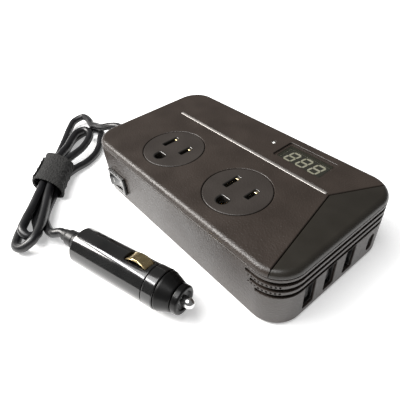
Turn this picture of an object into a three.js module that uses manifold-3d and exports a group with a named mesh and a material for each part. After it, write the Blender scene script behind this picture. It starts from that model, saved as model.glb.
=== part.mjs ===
// Vehicle power inverter with two AC outlets, USB sockets, a voltage display,
// and a bundled 12 V cord with a socket plug.
// Millimetres. +X points to the USB end, +Y to the display side, +Z up.
// The origin is on the resting surface, under the middle of the case and its switch.
import * as THREE from 'three';
import * as BufferGeometryUtils from 'three/addons/utils/BufferGeometryUtils.js';
import Module from 'manifold-3d';

const wasm = await Module();
wasm.setup();

// ---------- driving dimensions ----------
const GAP = 0.3; // air between two pieces that touch
const FOOT_PROUD = 0.8;
const CASE = { length: 141, width: 77.8, height: 32.3, corner: 13.3, wall: 2.2 };
const CASE_BOTTOM = FOOT_PROUD;
const CASE_TOP = FOOT_PROUD + CASE.height;
const LID = { rim: 3, plate: 2.4, fillet: 3, inset: 2.5, skirt: 1.5, skirtDepth: 1.8 };
const LID_BOTTOM = CASE_TOP - LID.rim;
const LID_UNDERSIDE = CASE_TOP - LID.plate;
const FLOOR_TOP = CASE_BOTTOM + CASE.wall;
const HALF_LENGTH = CASE.length / 2;
const HALF_WIDTH = CASE.width / 2;

const SCREW = { x: 60.5, y: 31, head: 2.8, shank: 1.3, post: 4.4, boss: 3.6, postTop: 8 };
const FOOT = { x: 46, length: 56, width: 8, recess: 0.7 };

const OUTLET = { x: [-25.8, 22.2], y: -13.8, faceRadius: 16.15, flangeRadius: 18, bodyRadius: 17 };
const BLADE = { spacing: 12.7, y: 2.8, width: 2.3, hot: 7.2, neutral: 9.2 };
const GROUND = { drop: 11.9, radius: 2.7, flat: 1.6 };
const OUTLET_BODY_BOTTOM = 16;

const STRIP = { x0: -53.6, x1: 50.9, y: 12.4, width: 1.4, depth: 0.8 };
const PANEL = { apex: [52, 12.4], near: [63.2, -HALF_WIDTH], far: [66.4, HALF_WIDTH] };
const DISPLAY = { x: 28, y: 25.7, length: 26, width: 11.4, margin: 1.4, recess: 0.9, window: 1.3 };
const DIGIT = { height: 7, width: 4.2, bar: 0.75, pitch: 7.3, lean: 0.16, thickness: 0.3 };
const LED = { x: 7.2, y: 26.8, radius: 0.9 };

const USB_A = { y: [-20.1, -6.7, 6.7], z: 11.2, opening: [5.12, 12.5], shell: 0.4, length: 17 };
const USB_C = { y: 23, z: 9.9, opening: [2.56, 8.34], shell: 0.32, length: 9 };
const SOCKET_FRONT = HALF_LENGTH - 0.9;
const SOCKET_CLEARANCE = 0.4;

const GROOVE = { z: [27.2, 23.4, 19.6], starts: [52.4, 55, 57.7], width: 2, depth: 1.3 };
const VENT_HOLE = { width: 1, pitch: 2, count: 4 };

const SWITCH = { x: -48.5, z: 12, bezel: [16.4, 11.6], body: [14, 9.2], depth: 12, tilt: 11, proud: 2.9 };
const FAN = { y: 13.5, z: 16.5, size: 25, thickness: 10, bore: 11.7, hub: 5.2, blades: 7 };
const GRILLE = { bars: 6, slot: 2, height: 19 };

const CORD = { radius: 2.4, sides: 10 };
const GLAND = { y: -11.6, z: 17, flange: 5.8, neck: 4.1, tip: 3, length: 17 };
const HANK = { x: -88, y: -60, angle: -40, bottom: 1.6, top: 11 };
const HANK_WAIST = { from: -15, to: 13, low: -12, high: 6 };
const HANK_ENDS = [{ x: -58, y: 2.2, radius: 19 }, { x: 51, y: -3, radius: 10.5 }];
const TIE = { from: -14, to: 13, thickness: 1.3 };

const PLUG = { x: -21.95, y: -77.4, z: 10.9, angle: 16.5, radius: 9.15 };
const PLUG_CONTACT = { start: 33, end: 45, width: 6.4, thickness: 0.6, angle: 75, root: 7.95, crown: 12.75 };
const PIN_TRAVEL = 3;

// ---------- shapes and booleans ----------
const rad = THREE.MathUtils.degToRad;

function solid(geometry) {
  const bare = geometry.index ? geometry.toNonIndexed() : geometry.clone();
  for (const name of Object.keys(bare.attributes)) {
    if (name !== 'position') bare.deleteAttribute(name);
  }
  const merged = BufferGeometryUtils.mergeVertices(bare, 1e-4);
  return new wasm.Manifold(new wasm.Mesh({
    numProp: 3,
    vertProperties: new Float32Array(merged.attributes.position.array),
    triVerts: new Uint32Array(merged.index.array),
  }));
}

function geometryOf(manifold) {
  const mesh = manifold.getMesh();
  const geometry = new THREE.BufferGeometry();
  geometry.setAttribute('position', new THREE.BufferAttribute(mesh.vertProperties, 3));
  geometry.setIndex(new THREE.BufferAttribute(mesh.triVerts, 1));
  return geometry;
}

const join = (first, ...others) => others.reduce((whole, piece) => whole.add(piece), first);
const cut = (first, ...others) => others.reduce((whole, piece) => whole.subtract(piece), first);

function block(x0, x1, y0, y1, z0, z1) {
  const geometry = new THREE.BoxGeometry(x1 - x0, y1 - y0, z1 - z0);
  geometry.translate((x0 + x1) / 2, (y0 + y1) / 2, (z0 + z1) / 2);
  return solid(geometry);
}

// A cylinder from z0 to z1 about a vertical axis.
function rod(x, y, z0, z1, radius, sides = 24) {
  const geometry = new THREE.CylinderGeometry(radius, radius, z1 - z0, sides);
  geometry.rotateX(Math.PI / 2);
  geometry.translate(x, y, (z0 + z1) / 2);
  return solid(geometry);
}

// A cylinder from x0 to x1 about an axis along X.
function rodX(x0, x1, y, z, radius, sides = 24, endRadius = radius) {
  const geometry = new THREE.CylinderGeometry(endRadius, radius, x1 - x0, sides);
  geometry.rotateZ(-Math.PI / 2);
  geometry.translate((x0 + x1) / 2, y, z);
  return solid(geometry);
}

function roundedRect(length, width, radius) {
  const shape = new THREE.Shape();
  const x = length / 2 - radius;
  const y = width / 2 - radius;
  shape.absarc(x, y, radius, 0, Math.PI / 2);
  shape.absarc(-x, y, radius, Math.PI / 2, Math.PI);
  shape.absarc(-x, -y, radius, Math.PI, 1.5 * Math.PI);
  shape.absarc(x, -y, radius, 1.5 * Math.PI, 2 * Math.PI);
  shape.closePath();
  return shape;
}

function prism(shape, z0, z1, curveSegments = 8) {
  const geometry = new THREE.ExtrudeGeometry(shape, { depth: z1 - z0, bevelEnabled: false, curveSegments });
  geometry.translate(0, 0, z0);
  return solid(geometry);
}

// The case's plan outline, pulled in by inset, from z0 to z1.
function caseSlab(inset, z0, z1) {
  const shape = roundedRect(CASE.length - 2 * inset, CASE.width - 2 * inset, CASE.corner - inset);
  return prism(shape, z0, z1);
}

// The same outline with both edges rounded by a radius.
function roundedCase(z0, z1, radius, steps) {
  const geometry = new THREE.ExtrudeGeometry(roundedRect(CASE.length, CASE.width, CASE.corner), {
    depth: z1 - z0 - 2 * radius,
    bevelThickness: radius,
    bevelSize: radius,
    bevelOffset: -radius,
    bevelSegments: steps,
    curveSegments: 8,
  });
  geometry.translate(0, 0, z0 + radius);
  return solid(geometry);
}

function polygon(points) {
  return new THREE.Shape(points.map(([x, y]) => new THREE.Vector2(x, y)));
}

function turned(profile, sides = 28) {
  const points = profile.map(([x, r]) => new THREE.Vector2(r, x));
  const geometry = new THREE.LatheGeometry(points, sides);
  geometry.rotateZ(-Math.PI / 2); // the lathe's axis becomes +X
  return solid(geometry);
}

function tube(points, radius, sides, steps) {
  const path = new THREE.CatmullRomCurve3(points.map((p) => new THREE.Vector3(...p)));
  const section = new THREE.Shape();
  for (let i = 0; i < sides; i += 1) {
    const a = (2 * Math.PI * i) / sides;
    section[i ? 'lineTo' : 'moveTo'](radius * Math.cos(a), radius * Math.sin(a));
  }
  section.closePath();
  return solid(new THREE.ExtrudeGeometry(section, { extrudePath: path, steps }));
}

const corners = [[-1, -1], [-1, 1], [1, -1], [1, 1]];

// ---------- materials ----------
function finish(color, roughness, metalness = 0) {
  return () => new THREE.MeshStandardMaterial({ color, roughness, metalness });
}
const texturedBlack = finish(0x2a2727, 0.62);
const smoothBlack = finish(0x262423, 0.42);
const glossBlack = finish(0x141414, 0.15);
const rubberBlack = finish(0x1b1b1b, 0.8);
const cordBlack = finish(0x222224, 0.55);
const darkPlastic = finish(0x1d1d1d, 0.5);
const whitePlastic = finish(0xd8d8d4, 0.5);
const silver = finish(0xd9d9d9, 0.25, 0.9);
const steel = finish(0xa8a8a8, 0.35, 0.9);
const brass = finish(0xc9a85a, 0.3, 0.9);
const copper = finish(0xb06a35, 0.4, 0.8);
const ferrite = finish(0x3b3a3c, 0.7);
const circuitGreen = finish(0x1d5a36, 0.55);
const tintedWindow = finish(0x3a3b36, 0.1);
const digitGlow = finish(0xcfd2bd, 0.5);
const fabricBlack = finish(0x1c1c1e, 0.9);

// Lengths above and below are from the middle of the case. The switch stands out on one side only,
// so the whole group moves by half of that to centre the box round both.
const inverter = new THREE.Group();
inverter.position.y = SWITCH.proud / 2;

function add(name, manifold, material, parent = inverter) {
  const mesh = new THREE.Mesh(geometryOf(manifold), material());
  mesh.name = name;
  parent.add(mesh);
  return mesh;
}

// ---------- case ----------
// The end panel's plan area, shifted along X.
function panelArea(shift, z0, z1) {
  const beyond = HALF_LENGTH + 5;
  const { apex, near, far } = PANEL;
  const stretch = 1.2; // runs the slanted sides past the case's long edges
  const past = ([x, y]) => [
    apex[0] + stretch * (x - apex[0]) + shift, apex[1] + stretch * (y - apex[1]),
  ];
  const outline = [
    [apex[0] + shift, apex[1]], past(near), [beyond, past(near)[1]], [beyond, past(far)[1]], past(far),
  ];
  return prism(polygon(outline), z0, z1);
}

// A band that follows the case's outline round the +X end, from startX on both long sides.
function endBand(startX, depth, z0, z1) {
  const ring = cut(caseSlab(-1, z0, z1), caseSlab(depth, z0 - 1, z1 + 1));
  return ring.intersect(block(startX, HALF_LENGTH + 5, -60, 60, z0 - 1, z1 + 1));
}

function ventHoles() {
  const holes = [];
  GROOVE.z.forEach((z, row) => {
    for (let i = 0; i < VENT_HOLE.count; i += 1) {
      const x = GROOVE.starts[row] + 1 + i * VENT_HOLE.pitch;
      for (const side of [-1, 1]) {
        const y = side * (HALF_WIDTH - CASE.wall / 2);
        const reach = CASE.wall / 2 + 1;
        const half = GROOVE.width / 2 - 0.1;
        holes.push(block(x, x + VENT_HOLE.width, y - reach, y + reach, z - half, z + half));
      }
    }
  });
  return holes;
}

function socketCutout(y, z, [openingY, openingZ], shell) {
  const halfY = openingY / 2 + shell + SOCKET_CLEARANCE;
  const halfZ = openingZ / 2 + shell + SOCKET_CLEARANCE;
  return block(HALF_LENGTH - 5, HALF_LENGTH + 1, y - halfY, y + halfY, z - halfZ, z + halfZ);
}

function fanGrille() {
  const slots = [];
  for (let i = 0; i < GRILLE.bars; i += 1) {
    const y = FAN.y + (i - (GRILLE.bars - 1) / 2) * (GRILLE.slot * 1.75);
    const half = GRILLE.height / 2;
    slots.push(block(-HALF_LENGTH - 1, -HALF_LENGTH + 5, y - GRILLE.slot / 2, y + GRILLE.slot / 2,
      FAN.z - half, FAN.z + half));
  }
  return slots;
}

// A strip across the case on its underside.
function footStrip(side, grow, top) {
  const shape = roundedRect(FOOT.width + 2 * grow, FOOT.length + 2 * grow, FOOT.width / 2 + grow);
  return prism(shape, 0, top, 6).translate([side * FOOT.x, 0, 0]);
}

function baseShell() {
  const top = LID_BOTTOM - GAP;
  let shell = roundedCase(CASE_BOTTOM, CASE_TOP, 1, 2).intersect(block(-90, 90, -60, 60, 0, top));
  shell = cut(shell, caseSlab(CASE.wall, FLOOR_TOP, CASE_TOP));
  GROOVE.z.forEach((z, row) => {
    const half = GROOVE.width / 2;
    shell = cut(shell, endBand(GROOVE.starts[row], GROOVE.depth, z - half, z + half));
  });
  shell = cut(shell, ...ventHoles(), ...fanGrille());
  for (const y of USB_A.y) shell = cut(shell, socketCutout(y, USB_A.z, USB_A.opening, USB_A.shell));
  shell = cut(shell, socketCutout(USB_C.y, USB_C.z, USB_C.opening, USB_C.shell));
  const [bodyX, bodyZ] = SWITCH.body;
  shell = cut(shell, block(SWITCH.x - bodyX / 2 - GAP, SWITCH.x + bodyX / 2 + GAP, -HALF_WIDTH - 1,
    -HALF_WIDTH + 5, SWITCH.z - bodyZ / 2 - GAP, SWITCH.z + bodyZ / 2 + GAP));
  shell = cut(shell, rodX(-HALF_LENGTH - 1, -HALF_LENGTH + 5, GLAND.y, GLAND.z, GLAND.neck + GAP));
  for (const [sx, sy] of corners) {
    const x = sx * SCREW.x;
    const y = sy * SCREW.y;
    shell = join(shell, rod(x, y, CASE_BOTTOM + 1, SCREW.postTop, SCREW.post));
    shell = cut(shell, rod(x, y, 0, FLOOR_TOP + 1.5, SCREW.head + GAP));
    shell = cut(shell, rod(x, y, 0, SCREW.postTop + 1, SCREW.shank + GAP));
  }
  for (const side of [-1, 1]) shell = cut(shell, footStrip(side, GAP, CASE_BOTTOM + FOOT.recess));
  for (const [x, y] of boardPosts) shell = join(shell, rod(x, y, FLOOR_TOP - 1, BOARD.bottom - GAP, 2.2, 16));
  return shell;
}

function lidBlank() {
  return roundedCase(CASE_TOP - 4 * LID.fillet, CASE_TOP, LID.fillet, 4)
    .intersect(block(-90, 90, -60, 60, LID_BOTTOM, CASE_TOP + 1));
}

function topCover() {
  const skirtBottom = LID_BOTTOM - LID.skirtDepth;
  const skirtOuter = LID.inset;
  const skirtInner = LID.inset + LID.skirt;
  let lid = cut(lidBlank(), caseSlab(skirtInner, LID_BOTTOM - 1, LID_UNDERSIDE));
  lid = cut(lid, panelArea(0, LID_BOTTOM - 1, CASE_TOP + 1));
  const skirt = cut(caseSlab(skirtOuter, skirtBottom, LID_UNDERSIDE + 0.5),
    caseSlab(skirtInner, skirtBottom - 1, CASE_TOP));
  const ledgeTop = LID_BOTTOM - GAP;
  const clearOfPanel = panelArea(0, ledgeTop, CASE_TOP + 1);
  const ledge = panelArea(-3, skirtBottom, LID_UNDERSIDE + 0.5)
    .intersect(caseSlab(skirtOuter, skirtBottom, CASE_TOP));
  lid = cut(join(lid, skirt, ledge), clearOfPanel);
  const fanHalf = FAN.size / 2 + 2 * GAP;
  lid = cut(lid, block(-HALF_LENGTH, FAN_BACK + FAN.thickness + GAP, FAN.y - fanHalf, FAN.y + fanHalf,
    skirtBottom - 1, FAN.z + fanHalf));
  for (const [sx, sy] of corners) {
    lid = join(lid, rod(sx * SCREW.x, sy * SCREW.y, SCREW.postTop + GAP, ledgeTop - 0.5, SCREW.boss));
    const bossTop = LID_UNDERSIDE + 0.5;
    if (sx < 0) lid = join(lid, rod(sx * SCREW.x, sy * SCREW.y, ledgeTop - 1, bossTop, SCREW.boss));
    lid = cut(lid, rod(sx * SCREW.x, sy * SCREW.y, 0, 22, SCREW.shank + GAP));
  }
  for (const x of OUTLET.x) lid = cut(lid, rod(x, OUTLET.y, 20, CASE_TOP + 1, OUTLET.faceRadius + GAP, 48));
  const half = STRIP.width / 2 + GAP;
  lid = cut(lid, block(STRIP.x0, STRIP.x1, STRIP.y - half, STRIP.y + half, CASE_TOP - STRIP.depth - GAP, 40));
  const recess = roundedRect(DISPLAY.length + 2 * DISPLAY.margin, DISPLAY.width + 2 * DISPLAY.margin, 1.2);
  const recessCut = prism(recess, CASE_TOP - DISPLAY.recess, 40, 3).translate([DISPLAY.x, DISPLAY.y, 0]);
  const lx = DISPLAY.length / 2 + GAP;
  const ly = DISPLAY.width / 2 + GAP;
  lid = cut(lid, recessCut, block(DISPLAY.x - lx, DISPLAY.x + lx, DISPLAY.y - ly, DISPLAY.y + ly, 26, 40));
  return cut(lid, rod(LED.x, LED.y, 26, 40, LED.radius + GAP));
}

function endPanel() {
  return lidBlank().intersect(panelArea(GAP, LID_BOTTOM, CASE_TOP + 1));
}

function caseScrew(x, y) {
  const top = FLOOR_TOP + 1.5 - GAP;
  const head = cut(rod(x, y, top - 2, top, SCREW.head, 20),
    block(x - 1.8, x + 1.8, y - 0.35, y + 0.35, 0, top - 1.2),
    block(x - 0.35, x + 0.35, y - 1.8, y + 1.8, 0, top - 1.2));
  return join(head, rod(x, y, top - 0.5, 20, SCREW.shank, 12));
}

// ---------- circuit boards and what stands on them ----------
const BOARD = { x0: -38, x1: 45, y0: -34, y1: 34, bottom: 8.3, thickness: 1.6 };
const BOARD_TOP = BOARD.bottom + BOARD.thickness;
const PART_BOTTOM = BOARD_TOP + GAP;
const boardPosts = [[-34, -30], [-34, 30], [41, -30], [41, 30]];
const USB_BOARD = { x0: 46.5, x1: 67.5, y0: -24, y1: 26, bottom: FLOOR_TOP + GAP, thickness: 1 };
const TRANSFORMER = { x: -18, y: 18, length: 26, width: 22, height: 18.5 };
const HEAT_SINK = { x0: -34, x1: 2, y: 31.4, fins: 5 };

function transformer() {
  const { x, y, length, width, height } = TRANSFORMER;
  const z1 = PART_BOTTOM + height;
  const frame = block(x - length / 2, x + length / 2, y - 5, y + 5, PART_BOTTOM, z1);
  const windows = [-1, 1].map((side) => block(x + side * 7 - 3.5, x + side * 7 + 3.5, y - 6, y + 6,
    PART_BOTTOM + 4, z1 - 4));
  const core = cut(frame, ...windows);
  const coilBlock = block(x - 10.2, x + 10.2, y - width / 2, y + width / 2, PART_BOTTOM + 4.3, z1 - 4.3);
  const keepOut = block(x - 3.8, x + 3.8, y - 5.3, y + 5.3, PART_BOTTOM, z1);
  const sides = block(x - length / 2, x + length / 2, y - 5.3, y + 5.3, PART_BOTTOM, z1);
  const insideWindows = windows.map((w) => w.intersect(block(x - 10.2, x + 10.2, y - 5.6, y + 5.6,
    PART_BOTTOM + 4.3, z1 - 4.3)));
  const winding = join(cut(coilBlock, sides), ...insideWindows.map((w) => cut(w, keepOut)));
  return { core, winding };
}

function heatSink() {
  const { x0, x1, y, fins } = HEAT_SINK;
  let sink = block(x0, x1, y, y + 1.4, PART_BOTTOM, PART_BOTTOM + 17);
  for (let i = 0; i < fins; i += 1) {
    const x = x0 + 1 + (i * (x1 - x0 - 3)) / (fins - 1);
    sink = join(sink, block(x, x + 1, y, y + 3, PART_BOTTOM, PART_BOTTOM + 17));
  }
  return sink;
}

function transistor(x) {
  const y = HEAT_SINK.y - GAP;
  const legs = [-2, 0, 2].map((dx) => block(x + dx - 0.35, x + dx + 0.35, y - 0.9, y - 0.4,
    PART_BOTTOM, PART_BOTTOM + 4));
  return join(block(x - 3, x + 3, y - 1.2, y, PART_BOTTOM + 3, PART_BOTTOM + 12), ...legs);
}

function capacitor(x, y) {
  return rod(x, y, PART_BOTTOM, PART_BOTTOM + 14, 5, 20);
}

function chokeCoil() {
  const ring = new THREE.TorusGeometry(6, 2.6, 10, 22);
  ring.translate(37, 11, PART_BOTTOM + 2.6);
  return solid(ring);
}

// ---------- outlets ----------
const bladeX = BLADE.spacing / 2;

function outletFace(x) {
  const y = OUTLET.y;
  const bladeY = y + BLADE.y;
  let face = rod(x, y, LID_UNDERSIDE - 0.6, CASE_TOP, OUTLET.faceRadius, 48);
  face = join(face, rod(x, y, LID_UNDERSIDE - GAP - 1.5, LID_UNDERSIDE - GAP, OUTLET.flangeRadius, 32));
  const slot = (side, length) => {
    const x0 = x + side * bladeX - BLADE.width / 2;
    return block(x0, x0 + BLADE.width, bladeY - length / 2, bladeY + length / 2, 20, 40);
  };
  const groundY = bladeY - GROUND.drop;
  return cut(face, slot(-1, BLADE.neutral), slot(1, BLADE.hot), rod(x, groundY, 20, 40, GROUND.radius, 20),
    block(x - GROUND.radius, x + GROUND.radius, groundY, groundY + GROUND.flat, 20, 40));
}

const OUTLET_BODY_TOP = LID_UNDERSIDE - 2 * GAP - 1.5;
const CAVITY = { blade: [5, 10.4], ground: 4.2 };

function outletBody(x) {
  const bladeY = OUTLET.y + BLADE.y;
  const [cx, cy] = CAVITY.blade;
  const cavities = [-1, 1].map((side) => block(x + side * bladeX - cx / 2, x + side * bladeX + cx / 2,
    bladeY - cy / 2, bladeY + cy / 2, OUTLET_BODY_BOTTOM + 1.5, 40));
  cavities.push(rod(x, bladeY - GROUND.drop, OUTLET_BODY_BOTTOM + 1.5, 40, CAVITY.ground, 20));
  return cut(rod(x, OUTLET.y, OUTLET_BODY_BOTTOM, OUTLET_BODY_TOP, OUTLET.bodyRadius, 32), ...cavities);
}

function bladeContact(x, length) {
  const bladeY = OUTLET.y + BLADE.y;
  const z0 = OUTLET_BODY_BOTTOM + 1.5 + GAP;
  const clip = block(x - 1.9, x + 1.9, bladeY - length / 2, bladeY + length / 2, z0, OUTLET_BODY_TOP - GAP);
  const throat = block(x - 0.9, x + 0.9, bladeY - length, bladeY + length, z0 + 1, 40);
  return cut(clip, throat);
}

function groundContact(x) {
  const y = OUTLET.y + BLADE.y - GROUND.drop;
  const z0 = OUTLET_BODY_BOTTOM + 1.5 + GAP;
  return cut(rod(x, y, z0, OUTLET_BODY_TOP - GAP, 3.6, 20), rod(x, y, z0 + 1, 40, 2.7, 16),
    block(x - 0.5, x + 0.5, y - 5, y, z0 + 1, 40));
}

// ---------- display ----------
function displayBlock(inset, z0, z1) {
  const halfLength = DISPLAY.length / 2 - inset;
  const halfWidth = DISPLAY.width / 2 - inset;
  const { x, y } = DISPLAY;
  return block(x - halfLength, x + halfLength, y - halfWidth, y + halfWidth, z0, z1);
}

// The module's block, with the lit bars of three digits raised on its face.
function displayModule() {
  const windowBottom = CASE_TOP - DISPLAY.recess - DISPLAY.window;
  const face = windowBottom - GAP - DIGIT.thickness;
  const { height, width, bar, pitch, lean, thickness } = DIGIT;
  const h = height / 2;
  const w = width / 2;
  const end = bar * 0.62; // bars stop short of the corners
  const across = (y) => polygon([[-w + end, y - bar / 2], [w - end, y - bar / 2], [w - end, y + bar / 2],
    [-w + end, y + bar / 2]]);
  const upright = (x, y0) => polygon([[x - bar / 2, y0 + end], [x + bar / 2, y0 + end],
    [x + bar / 2, y0 + h - end], [x - bar / 2, y0 + h - end]]);
  const segments = [
    across(h), across(0), across(-h), upright(-w, 0), upright(w, 0), upright(-w, -h), upright(w, -h),
  ];
  let module = displayBlock(0.4, 24.5, face);
  for (let i = -1; i <= 1; i += 1) {
    for (const segment of segments) {
      const geometry = new THREE.ExtrudeGeometry(segment, { depth: thickness + 0.2, bevelEnabled: false });
      geometry.applyMatrix4(new THREE.Matrix4().makeShear(0, 0, lean, 0, 0, 0));
      geometry.translate(DISPLAY.x + i * pitch, DISPLAY.y - 0.2, face - 0.2);
      module = join(module, solid(geometry));
    }
  }
  return module;
}

function statusLed() {
  const { x, y, radius } = LED;
  const dome = new THREE.SphereGeometry(radius, 14, 8);
  dome.translate(x, y, CASE_TOP - 0.7);
  const body = rod(x, y, 28.2, CASE_TOP - 0.7, radius * Math.cos(Math.PI / 14), 14);
  return join(solid(dome), body, rod(x, y, 27.4, 28.4, radius + 0.5, 14));
}

// ---------- USB sockets ----------
function socketShell(y, z, [openingY, openingZ], wall, length) {
  const x0 = SOCKET_FRONT - length;
  const around = (start, end, grow) => {
    const halfY = openingY / 2 + grow;
    const halfZ = openingZ / 2 + grow;
    return block(start, end, y - halfY, y + halfY, z - halfZ, z + halfZ);
  };
  return cut(around(x0, SOCKET_FRONT, wall), around(x0 + 1, SOCKET_FRONT + 1, 0));
}

function usbTongue(y, z) {
  const x0 = SOCKET_FRONT - USB_A.length + 1 + GAP;
  const side = y + USB_A.opening[0] / 2 - GAP;
  const back = block(x0, x0 + 5, y - USB_A.opening[0] / 2 + GAP, side, z - 5.9, z + 5.9);
  return join(back, block(x0, SOCKET_FRONT - 1.2, side - 2, side, z - 5.5, z + 5.5));
}

function usbcTongue() {
  const x0 = SOCKET_FRONT - USB_C.length + 1 + GAP;
  const { y, z } = USB_C;
  return join(block(x0, x0 + 2.4, y - 0.95, y + 0.95, z - 3.8, z + 3.8),
    block(x0, SOCKET_FRONT - 0.8, y - 0.35, y + 0.35, z - 3.3, z + 3.3));
}

// ---------- switch ----------
function switchHousing() {
  const [bezelX, bezelZ] = SWITCH.bezel;
  const [bodyX, bodyZ] = SWITCH.body;
  const face = -HALF_WIDTH - GAP;
  const inside = face + SWITCH.depth;
  const { x, z } = SWITCH;
  const bezel = block(x - bezelX / 2, x + bezelX / 2, face - 1.4, face, z - bezelZ / 2, z + bezelZ / 2);
  const body = block(x - bodyX / 2, x + bodyX / 2, face - 0.5, inside, z - bodyZ / 2, z + bodyZ / 2);
  const well = block(x - bodyX / 2 + 0.8, x + bodyX / 2 - 0.8, face - 3, face + 6,
    z - bodyZ / 2 + 0.8, z + bodyZ / 2 - 0.8);
  const tabs = [-4.6, 0, 4.6].map((dx) => (
    block(x + dx - 0.4, x + dx + 0.4, inside - 1, inside + 4, z - 2, z + 2)));
  return cut(join(bezel, body, ...tabs), well);
}

// The rocker's pivot is at the origin of its own frame; the crowned face looks toward -Y.
function rockerSolid() {
  const halfLength = SWITCH.body[0] / 2 - 1.4;
  const halfHeight = SWITCH.body[1] / 2 - 0.8 - GAP;
  const outline = new THREE.Shape();
  const rise = Math.tan(rad(SWITCH.tilt)) * halfLength;
  outline.moveTo(-halfLength, -2.6);
  outline.quadraticCurveTo(0, -2.6 + 2 * rise, halfLength, -2.6);
  outline.lineTo(halfLength - 0.5, 0.4);
  outline.lineTo(1.6, 2.2);
  outline.lineTo(-1.6, 2.2);
  outline.lineTo(-halfLength + 0.5, 0.4);
  outline.closePath();
  return prism(outline, -halfHeight, halfHeight, 10);
}

// ---------- fan ----------
const FAN_BACK = -HALF_LENGTH + CASE.wall + GAP;

function fanFrame() {
  const half = FAN.size / 2;
  const x1 = FAN_BACK + FAN.thickness;
  const plate = block(FAN_BACK, x1, FAN.y - half, FAN.y + half, FAN.z - half, FAN.z + half);
  const duct = rodX(FAN_BACK - 1, x1 + 1, FAN.y, FAN.z, FAN.bore, 32);
  const motorSeat = rodX(x1 - 1.6, x1, FAN.y, FAN.z, FAN.hub, 20);
  const arms = [[0, 1], [1, 0]].map(([ay, az]) => block(x1 - 1.6, x1, FAN.y - (ay ? half - 0.4 : 0.8),
    FAN.y + (ay ? half - 0.4 : 0.8), FAN.z - (az ? half - 0.4 : 0.8), FAN.z + (az ? half - 0.4 : 0.8)));
  return join(cut(plate, duct), motorSeat, ...arms);
}

function fanRotor() {
  const x0 = FAN_BACK + 0.9;
  const x1 = FAN_BACK + FAN.thickness - 1.6 - GAP;
  let rotor = rodX(x0, x1, 0, 0, FAN.hub, 20);
  for (let i = 0; i < FAN.blades; i += 1) {
    const blade = new THREE.BoxGeometry(0.6, 5.2, FAN.bore - FAN.hub - 0.3);
    blade.rotateZ(rad(-38));
    blade.translate((x0 + x1) / 2, 0, (FAN.bore + FAN.hub - 0.9) / 2);
    blade.rotateX((2 * Math.PI * i) / FAN.blades);
    rotor = join(rotor, solid(blade));
  }
  return rotor;
}

// ---------- cord ----------
function cordGland() {
  const { y, z, flange, neck, tip, length } = GLAND;
  const face = -HALF_LENGTH - GAP;
  const profile = [[0, 0], [0, flange], [1.6, flange], [2.2, neck], [length, tip], [length, 0]];
  const outside = turned(profile).rotate([0, 0, 180]).translate([face, y, z]);
  const through = rodX(face - 0.5, face + CASE.wall + 1.2, y, z, neck);
  const collar = rodX(face + CASE.wall + 2 * GAP, face + CASE.wall + 3, y, z, flange);
  return join(outside, through, collar);
}

function hankOutline(grow) {
  const shape = new THREE.Shape();
  const [upper, lower] = HANK_ENDS;
  const { from, to, low, high } = HANK_WAIST;
  shape.moveTo(from, low - grow);
  shape.lineTo(to, low - grow);
  shape.absarc(lower.x, lower.y, lower.radius + grow, rad(-94), rad(94));
  shape.lineTo(to, high + grow);
  shape.lineTo(from, high + grow);
  shape.absarc(upper.x, upper.y, upper.radius + grow, rad(74), rad(286));
  shape.closePath();
  return shape;
}

function hankPrism(grow, z0, z1) {
  return prism(hankOutline(grow), z0, z1, 14).rotate([0, 0, HANK.angle]).translate([HANK.x, HANK.y, 0]);
}

// A straight length of cord, cut off a little before the bundle.
function cordUpToHank(route, steps) {
  return cut(tube(route, CORD.radius, CORD.sides, steps), hankPrism(GAP, -1, HANK.top + GAP));
}

function cordTie() {
  const width = HANK_WAIST.high - HANK_WAIST.low + 2 * GAP;
  const height = HANK.top - HANK.bottom + 2 * GAP;
  const grow = 2 * TIE.thickness;
  const band = (extra, from, to) => {
    const geometry = new THREE.ExtrudeGeometry(roundedRect(width + extra, height + extra, 0.6 + extra / 2), {
      depth: to - from, bevelEnabled: false, curveSegments: 3,
    });
    geometry.rotateX(Math.PI / 2);
    geometry.rotateZ(Math.PI / 2);
    geometry.translate(from, (HANK_WAIST.high + HANK_WAIST.low) / 2, (HANK.top + HANK.bottom) / 2);
    return solid(geometry);
  };
  return cut(band(grow, TIE.from, TIE.to), band(0, TIE.from - 5, TIE.to + 5))
    .rotate([0, 0, HANK.angle]).translate([HANK.x, HANK.y, 0]);
}

const plugPoint = (s, up = 0) => [
  PLUG.x + s * Math.cos(rad(PLUG.angle)), PLUG.y + s * Math.sin(rad(PLUG.angle)), PLUG.z + up,
];
const BOOT_LENGTH = 10;

// A point given along and across the bundled cord.
const hankPoint = (along, across, z) => {
  const c = Math.cos(rad(HANK.angle));
  const s = Math.sin(rad(HANK.angle));
  return [HANK.x + along * c - across * s, HANK.y + along * s + across * c, z];
};

// From the gland down to the side of the bundled cord.
const leadRoute = [
  [-HALF_LENGTH - 2 * GAP - GLAND.length, GLAND.y, GLAND.z], [-94.5, -12, 17], [-99.6, -14.2, 16.1],
  [-105.4, -16.3, 14], [-112, -17.2, 11.4], [-119, -16.9, 9.4], [-125.4, -17.6, 7.8],
];
// From the end of the bundled cord up to the plug's strain relief.
const plugLeadRoute = [
  hankPoint(36.4, 1.2, 2.5), hankPoint(41.2, 3.8, 2.6), hankPoint(45.8, 7, 3.7), hankPoint(50, 10.4, 6.4),
  hankPoint(53.9, 13.9, 9.7), plugPoint(-BOOT_LENGTH - 2.6), plugPoint(-BOOT_LENGTH - GAP),
];

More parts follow.
